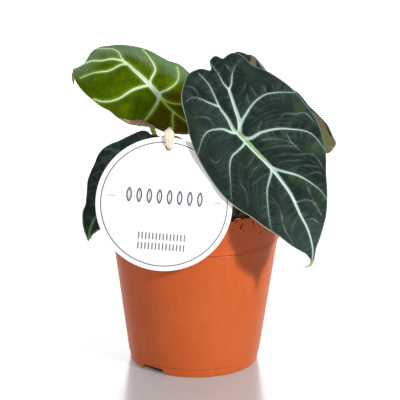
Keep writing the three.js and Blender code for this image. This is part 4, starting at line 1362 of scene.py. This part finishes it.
# Each size of roughness is its width, its height and its seed.
SOIL_ROUGHNESS = ((9, 0.9, 1), (3.2, 0.8, 5), (1.4, 0.5, 9))
CRUMBS = 900
CHIPS = 70
FIBRES = 130


def soil_level(x, y):
    """The height of the mix at a place, in millimetres."""
    level = SOIL_RIM_LEVEL + (SOIL_MIDDLE_LEVEL - SOIL_RIM_LEVEL) * bell(math.hypot(x, y), MOUND_REACH)
    for width, height, seed in SOIL_ROUGHNESS:
        level += height * noise.noise(Vector((x / width, y / width, seed)))
    return level


def make_soil():
    soil, disc = round_sheet(SOIL_CELLS)
    move_points(soil, np.array([(x, y, soil_level(x, y)) for x, y in disc * SOIL_RADIUS]) * MM)
    edit(soil)
    bpy.ops.mesh.select_mode(type="VERT")
    bpy.ops.mesh.select_non_manifold()
    sink = {"value": (0, 0, (SOIL_NECK_LEVEL - SOIL_RIM_LEVEL) * MM)}
    bpy.ops.mesh.extrude_region_move(TRANSFORM_OT_translate=sink)
    bpy.ops.transform.resize(value=(SOIL_NECK_RADIUS / SOIL_RADIUS,) * 2 + (1,), center_override=(0, 0, 0))
    sink = {"value": (0, 0, (SOIL_FLOOR_LEVEL - SOIL_NECK_LEVEL) * MM)}
    bpy.ops.mesh.extrude_region_move(TRANSFORM_OT_translate=sink)
    bpy.ops.transform.resize(value=(SOIL_FLOOR_RADIUS / SOIL_NECK_RADIUS,) * 2 + (0,),
                             center_override=(0, 0, SOIL_FLOOR_LEVEL * MM))
    bpy.ops.mesh.edge_face_add()
    object_mode()
    outwards(soil)
    smooth(soil, 50)
    paint(soil, PEAT)
    return adopt(soil, "potting_mix", ["potting_mix"])


def pebble(detail):
    """The points and faces of one round stone, as a start for a crumb."""
    stone = add(bpy.ops.mesh.primitive_ico_sphere_add, subdivisions=detail, radius=1)
    points = points_of(stone)
    faces = np.array([tuple(face.vertices) for face in stone.data.polygons])
    bpy.data.objects.remove(stone)
    return points, faces


def crumb(stone, place, size, rng, tumble=True):
    """The points of one crumb: the stone, dented, stretched and turned at random."""
    dents = 1 + 0.28 * rng.uniform(-1, 1, (len(stone), 1))
    if not tumble:
        return stone * dents * size + place
    turn = np.array(Matrix.Rotation(rng.uniform(0, math.tau), 3, Vector(rng.normal(size=3))))
    return (stone * dents * size) @ turn + place


def gather(name, stones, faces, finish):
    """Joins crumbs that share one set of faces into one piece."""
    count = len(stones[0])
    places = np.vstack(stones) * MM
    shapes = np.vstack([faces + count * number for number in range(len(stones))])
    mesh = bpy.data.meshes.new(name)
    mesh.from_pydata(places.tolist(), [], shapes.tolist())
    piece = bpy.data.objects.new(name, mesh)
    bpy.context.scene.collection.objects.link(piece)
    paint(piece, finish)
    return adopt(piece, name)


def on_soil(rng, outer=SOIL_RADIUS - 1):
    """A random place on the mix, more of them towards the rim."""
    away = outer * math.sqrt(rng.uniform(0.02, 1))
    turn = rng.uniform(0, math.tau)
    x, y = away * math.cos(turn), away * math.sin(turn)
    return np.array((x, y, soil_level(x, y)))


def scatter():
    rng = np.random.default_rng(11)
    stone, faces = pebble(1)
    crumbs = [crumb(stone, on_soil(rng), rng.uniform(0.5, 1.5, 3), rng) for _ in range(CRUMBS)]
    gather("crumbs", crumbs, faces, PEAT)
    stone, faces = pebble(2)
    chips = []
    for _ in range(CHIPS):
        size = np.array((rng.uniform(1.6, 3.6), rng.uniform(1.0, 2.2), rng.uniform(0.4, 0.9)))
        chips.append(crumb(stone, on_soil(rng) + (0, 0, 0.5), size, rng))
    gather("bark_chips", chips, faces, BARK)


def thread(points, count, radius):
    """One thin fibre along these points."""
    return tube("fibre", smooth_path(points, count=count) * MM, np.full(count, radius * MM), FIBRE_SIDES)


def bundle(name, threads):
    """Joins fibres into one piece."""
    only(*threads)
    bpy.ops.object.join()
    paint(bpy.context.object, COIR)
    return adopt(bpy.context.object, name)


def lay_fibres():
    rng = np.random.default_rng(23)
    threads = []
    for _ in range(FIBRES):
        start = on_soil(rng, SOIL_RADIUS - 4)
        turn = rng.uniform(0, math.tau)
        reach = rng.uniform(4, 13)
        points = []
        for step in range(4):
            along = reach * step / 3
            x = start[0] + along * math.cos(turn) + rng.uniform(-1, 1)
            y = start[1] + along * math.sin(turn) + rng.uniform(-1, 1)
            if math.hypot(x, y) > SOIL_RADIUS - 1:
                break
            points.append((x, y, soil_level(x, y) + rng.uniform(0.1, 1.0)))
        if len(points) > 1:
            threads.append(thread(points, 8, rng.uniform(0.10, 0.22)))
    return bundle("coir_fibres", threads)


make_soil()
scatter()
lay_fibres()

# %% [markdown]
# ### Crumbs on the collar
# The pot was filled by hand: clumps hang over the rim beside the front leaf, and a smear, a streak and
# a few dark crumbs stick to the collar below them.

# %% Crumbs on the collar
# Each is its place on the collar and its size, in millimetres.
COLLAR_CRUMBS = [
    ((29.7, -51.4, 107.9), (0.5, 0.3, 1.3)), ((29.0, -51.8, 105.6), (0.9, 0.25, 1.0)),
    ((30.5, -50.3, 103.1), (0.4, 0.3, 0.4)), ((36.9, -46.7, 107.8), (0.5, 0.3, 1.2)),
    ((37.6, -45.6, 105.0), (0.35, 0.25, 0.9)), ((41.8, -40.2, 99.4), (0.8, 0.5, 0.8)),
    ((24.0, -53.9, 104.7), (0.6, 0.3, 0.5)), ((21.6, -53.8, 96.7), (0.45, 0.3, 0.45)),
    ((26.5, -52.2, 101.3), (0.3, 0.2, 0.3)),
]
# Each clump is its angle round the rim, in degrees, and its size.
RIM_CLUMPS = [(-66, 2.0), (-64.5, 2.4), (-62.5, 2.6), (-60.5, 2.0), (-57, 1.5), (-55, 2.2), (-53.5, 1.4)]
RIM_FIBRES = 70
DIRT_DARK = (0.10, 0.040, 0.012)
DIRT_PALE = (0.22, 0.085, 0.024)


def dirt():
    finish = Finish("dried_dirt", {"Roughness": 0.8, "Specular IOR Level": 0.2})
    finish.set("Base Color", finish.blend(DIRT_DARK, DIRT_PALE, finish.noise(0.8, 3)))
    return finish.material


def dirty_the_rim():
    rng = np.random.default_rng(5)
    stone, faces = pebble(2)
    specks = [crumb(stone, place, size, rng, tumble=False) for place, size in COLLAR_CRUMBS]
    gather("collar_dirt", specks, faces, dirt())
    crumbs = []
    for turn, size in RIM_CLUMPS:
        for _ in range(3):
            angle = math.radians(turn + rng.uniform(-1, 1))
            away = rng.uniform(56.5, 59.8)
            place = np.array((away * math.cos(angle), away * math.sin(angle), rng.uniform(110.5, 112.4)))
            crumbs.append(crumb(stone, place, size * rng.uniform(0.35, 0.75, 3), rng))
    gather("rim_crumbs", crumbs, faces, PEAT)


def lay_rim_fibres():
    """Coir that lies along the rim, where the mix is seen beside the front leaf."""
    rng = np.random.default_rng(31)
    threads = []
    for _ in range(RIM_FIBRES):
        start = math.radians(rng.uniform(-74, -48))
        away = rng.uniform(46, 56)
        reach = math.radians(rng.uniform(5, 13))
        points = []
        for step in range(4):
            turn = start + reach * step / 3
            x, y = away * math.cos(turn), away * math.sin(turn)
            points.append((x, y, soil_level(x, y) + rng.uniform(0.5, 2.4)))
        threads.append(thread(points, 9, rng.uniform(0.12, 0.26)))
    return bundle("rim_fibres", threads)


dirty_the_rim()
lay_rim_fibres()

# %% [markdown]
# ### Printed card
# The tag is white card with a thin grey ring line. It has no words: a row of plain leaf marks between
# two dashes, and two rows of short bars, stand in their place. The card also glows faintly in its own
# colours: painted light that keeps it white where the leaves shade it.

# %% Tag finish
INK = (0.095, 0.092, 0.125)
CARD_WHITE = (0.93, 0.93, 0.93)
RING_LINE_RADIUS = 39.7
LINE_WIDTH = 0.62
MARKS = 8
MARK_PITCH = 6.35
MARK_HEIGHT = 4.6
MARK_WIDTH = 1.35
MARK_LEVEL = 5.0
DASH_LEVEL = 3.5
DASH_OUT = 33.2
DASH_HALF_LENGTH = 2.4
BARS_PER_MM = 0.45
BAR_LEVELS = (-20.7, -27.2)
BAR_HALF_HEIGHT = 2.3
BAR_SPAN = 15


def card():
    finish = Finish("tag_card", {
        "Roughness": 0.45,
        "Specular IOR Level": 0.4,
        "Emission Color": (1, 1, 1, 1),
        "Emission Strength": 0.14,
    })
    paper, u, v = paper_of(finish)
    wide = abs(u)
    level = abs(v - MARK_LEVEL)
    ink = abs((u * u + v * v) ** 0.5 - RING_LINE_RADIUS).ease(LINE_WIDTH * 0.75, LINE_WIDTH * 0.3)
    across = abs((u * (1 / MARK_PITCH)).math("FRACT") - 0.5) * MARK_PITCH
    taper = 1 - (level * level) * (1 / MARK_HEIGHT**2)
    mark = abs(across - taper * MARK_WIDTH).ease(0.62, 0.35).at_least(across.ease(0.35, 0.15) * 0.6)
    row = wide.ease(MARKS * MARK_PITCH / 2 + 0.1, MARKS * MARK_PITCH / 2)
    ink = ink.at_least(row * level.ease(MARK_HEIGHT + 0.1, MARK_HEIGHT - 0.1) * mark)
    dash = abs(wide - DASH_OUT).ease(DASH_HALF_LENGTH, DASH_HALF_LENGTH - 0.2)
    ink = ink.at_least(dash * abs(v - DASH_LEVEL).ease(0.30, 0.12) * 0.85)
    comb = (u * BARS_PER_MM).math("FRACT")
    comb = comb.ease(0.30, 0.38) * comb.ease(0.78, 0.70) * wide.ease(BAR_SPAN, BAR_SPAN - 0.2)
    for bar_level in BAR_LEVELS:
        rise = abs(v - bar_level).ease(BAR_HALF_HEIGHT, BAR_HALF_HEIGHT - 0.2)
        ink = ink.at_least(comb * rise * 0.9)
    print_colour = finish.blend(CARD_WHITE, INK, ink * finish.attribute("front"))
    finish.set("Base Color", print_colour)
    # The card's faint glow in its own colours is painted light.
    finish.set("Emission Color", print_colour)
    return finish.material


CARD = card()
print("made", CARD.name)

# %% [markdown]
# ## Tag
# The tag is a disc of card with rounded edges and a hole near its edge. It is made lying down, and then
# it is stood up so that it leans back on the pot and hangs a little askew.

# %% Tag
TAG_RADIUS = 43
TAG_THICKNESS = 0.6
TAG_EDGE_ROUND = 0.15
TAG_PLACE = Vector((-19.7, -59.5, 122.35))
TAG_LEAN = 3
TAG_TURN = -4
HOLE_RADIUS = 1.9
HOLE_OUT = 36.4
HOLE_ASIDE = 0.3


def make_tag():
    cylinder = bpy.ops.mesh.primitive_cylinder_add
    tag = add(cylinder, vertices=160, radius=TAG_RADIUS * MM, depth=TAG_THICKNESS * MM)
    round_corners(tag, TAG_EDGE_ROUND * MM, 50, 2)
    hole = Vector((HOLE_ASIDE, HOLE_OUT, 0)) * MM
    cut(tag, add(cylinder, vertices=48, radius=HOLE_RADIUS * MM, depth=CUTTER_LENGTH, location=hole))
    places = points_of(tag)
    write_paper(tag, places[:, :2] / MM)
    remember(tag, "front", places[:, 2] > 0)
    lean = Matrix.Rotation(math.radians(90 - TAG_LEAN), 4, "X")
    turn = Matrix.Rotation(math.radians(TAG_TURN), 4, "Z")
    tag.matrix_world = Matrix.Translation(TAG_PLACE * MM) @ lean @ turn
    settle(tag)
    smooth(tag, 30)
    paint(tag, CARD)
    return adopt(tag, "tag", ["round_tag"])


make_tag()

# %% [markdown]
# ### Raffia
# Raffia is a strip of palm leaf: straw-coloured, matt, finely ribbed along its length and creased.

# %% Raffia finish
STRAW_PALE = (0.93, 0.84, 0.64)
STRAW_WARM = (0.80, 0.50, 0.24)


def raffia():
    finish = Finish("raffia", {"Roughness": 0.6, "Specular IOR Level": 0.35})
    paper = finish.node("UVMap", {"uv_map": "flat"}, {})
    stretch = finish.node("Mapping", {}, {"Vector": paper, "Scale": (1.4, 0.22, 1)})
    fibre = finish.noise_on(stretch, 2.4, 4)
    share = (fibre * 0.35 + finish.noise_on(paper, 1.1, 3) * 0.65).ease(0.50, 0.64)
    finish.set("Base Color", finish.blend(STRAW_PALE, STRAW_WARM, share * 0.65))
    finish.bump(fibre, 0.25)
    return finish.material


RAFFIA = raffia()
print("made", RAFFIA.name)

# %% [markdown]
# ## Raffia tie
# One strip goes through the tag's hole, up over its edge, round the petiole behind it and back. It is a
# ring bent to that route, widest where it comes forward over the card, and creased along its length.

# %% Raffia tie
# The route is how far the strip's middle is from the pot's axis and from the floor, in millimetres.
TIE_X = -16.6
TIE_ROUTE = [(-57.3, 158.0), (-58.9, 159.3), (-59.4, 163), (-59.2, 166.8), (-57.4, 168.7), (-48, 168.6),
             (-41, 167.0), (-39, 163), (-41, 158.6), (-47, 157.6), (-54, 157.8)]
TIE_THICKNESS = 1.3
TIE_NARROW = 3.0
TIE_WIDE = 6.1
TIE_WIDEST, TIE_WIDE_REACH = 0.16, 0.105
TIE_CREASES, TIE_FINE_CREASES = 9, 17
TIE_STEPS = 180
TIE_SIDES = 36


def make_tie():
    tie = add(bpy.ops.mesh.primitive_torus_add, major_segments=TIE_STEPS, minor_segments=TIE_SIDES,
              major_radius=1, minor_radius=0.5)
    points = points_of(tie)
    share = (np.arctan2(points[:, 1], points[:, 0]) / math.tau) % 1
    out = np.hypot(points[:, 0], points[:, 1]) - 1
    around = np.arctan2(points[:, 2], out)
    loop = smooth_path([(0, y, z) for y, z in TIE_ROUTE], closed=True, count=FINE_STEPS)
    along = part_way(share + 0.004, loop) - part_way(share - 0.004, loop)
    along /= np.linalg.norm(along, axis=1)[:, None]
    side = np.array((1.0, 0, 0))
    up = np.cross(along, side)
    apart = np.minimum((share - TIE_WIDEST) % 1, (TIE_WIDEST - share) % 1)
    width = TIE_NARROW + (TIE_WIDE - TIE_NARROW) * np.exp(-((apart / TIE_WIDE_REACH) ** 4))
    crease = 1 + 0.16 * np.sin(TIE_CREASES * around + 4 * np.sin(share * 14))
    crease += 0.08 * np.sin(TIE_FINE_CREASES * around + share * 50)
    wobble = 0.25 * np.sin(share * math.tau * 3)
    across = (width / 2) * np.cos(around)
    thick = (TIE_THICKNESS / 2) * np.sin(around) * crease
    place = part_way(share, loop) + np.outer(across + wobble + TIE_X, side) + thick[:, None] * up
    move_points(tie, place * MM)
    travelled = lengths(loop)[-1] * share
    write_paper(tie, np.stack([around * width / 2, travelled], axis=1))
    outwards(tie)
    smooth(tie, 60)
    paint(tie, RAFFIA)
    return adopt(tie, "raffia_tie", ["raffia_tie"])


make_tie()

# %% [markdown]
# ## Floor and light
# The floor is plain, pale and glossy, and dark under the pot, where painted shade stands for the
# shadow there. The main light stands to the right of the camera and above it. A larger one on the left
# and a pale sky fill in the shadows, and a wide one behind the plant lights the floor.

# %% Floor and light
FLOOR_RADIUS = 6.0
SHADE_INNER = 37 * MM
SHADE_OUTER = 42 * MM


def make_floor():
    finish = Finish("pale_floor", {
        "Roughness": 0.2,
        "Specular IOR Level": 1.0,
        "Emission Strength": 0.15,
    })
    x, y = split(finish, finish.place())
    # Painted shade: under the pot the floor turns dark and loses its glow.
    painted_shade_under_pot = ((x * x + y * y) ** 0.5).ease(SHADE_OUTER, SHADE_INNER)
    finish.set("Emission Color", finish.blend((1, 1, 1), (0.02, 0.02, 0.02), painted_shade_under_pot))
    finish.set("Base Color", finish.blend((0.35, 0.35, 0.35), (0.03, 0.03, 0.03), painted_shade_under_pot))
    floor = add(bpy.ops.mesh.primitive_circle_add, vertices=64, radius=FLOOR_RADIUS, fill_type="NGON")
    floor.name = "floor"
    paint(floor, finish.material)
    return floor


def make_light(name, place, width, height, power):
    """A flat light that faces the plant."""
    data = bpy.data.lights.new(name, "AREA")
    data.shape = "RECTANGLE"
    data.size = width
    data.size_y = height
    data.energy = power
    light = bpy.data.objects.new(name, data)
    light.location = place
    light.rotation_euler = (Vector(place) - CAMERA_TARGET).to_track_quat("Z", "Y").to_euler()
    bpy.context.scene.collection.objects.link(light)
    return light


def make_sky(strength):
    world = bpy.data.worlds.new("sky")
    world.use_nodes = True
    background = world.node_tree.nodes["Background"]
    background.inputs["Color"].default_value = (0.92, 0.96, 1, 1)
    background.inputs["Strength"].default_value = strength
    bpy.context.scene.world = world


make_floor()
make_light("key", (0.952, -1.0, 0.837), 0.13, 0.13, 21.5)
make_light("fill", (-1.2, -1.1, 0.5), 1.0, 1.0, 5)
make_light("back", (0, 2.5, 1.0), 5.0, 2.4, 112)
make_sky(0.3)
bpy.context.scene.view_settings.view_transform = "Standard"
print("floor and", len(bpy.data.lights), "lights")
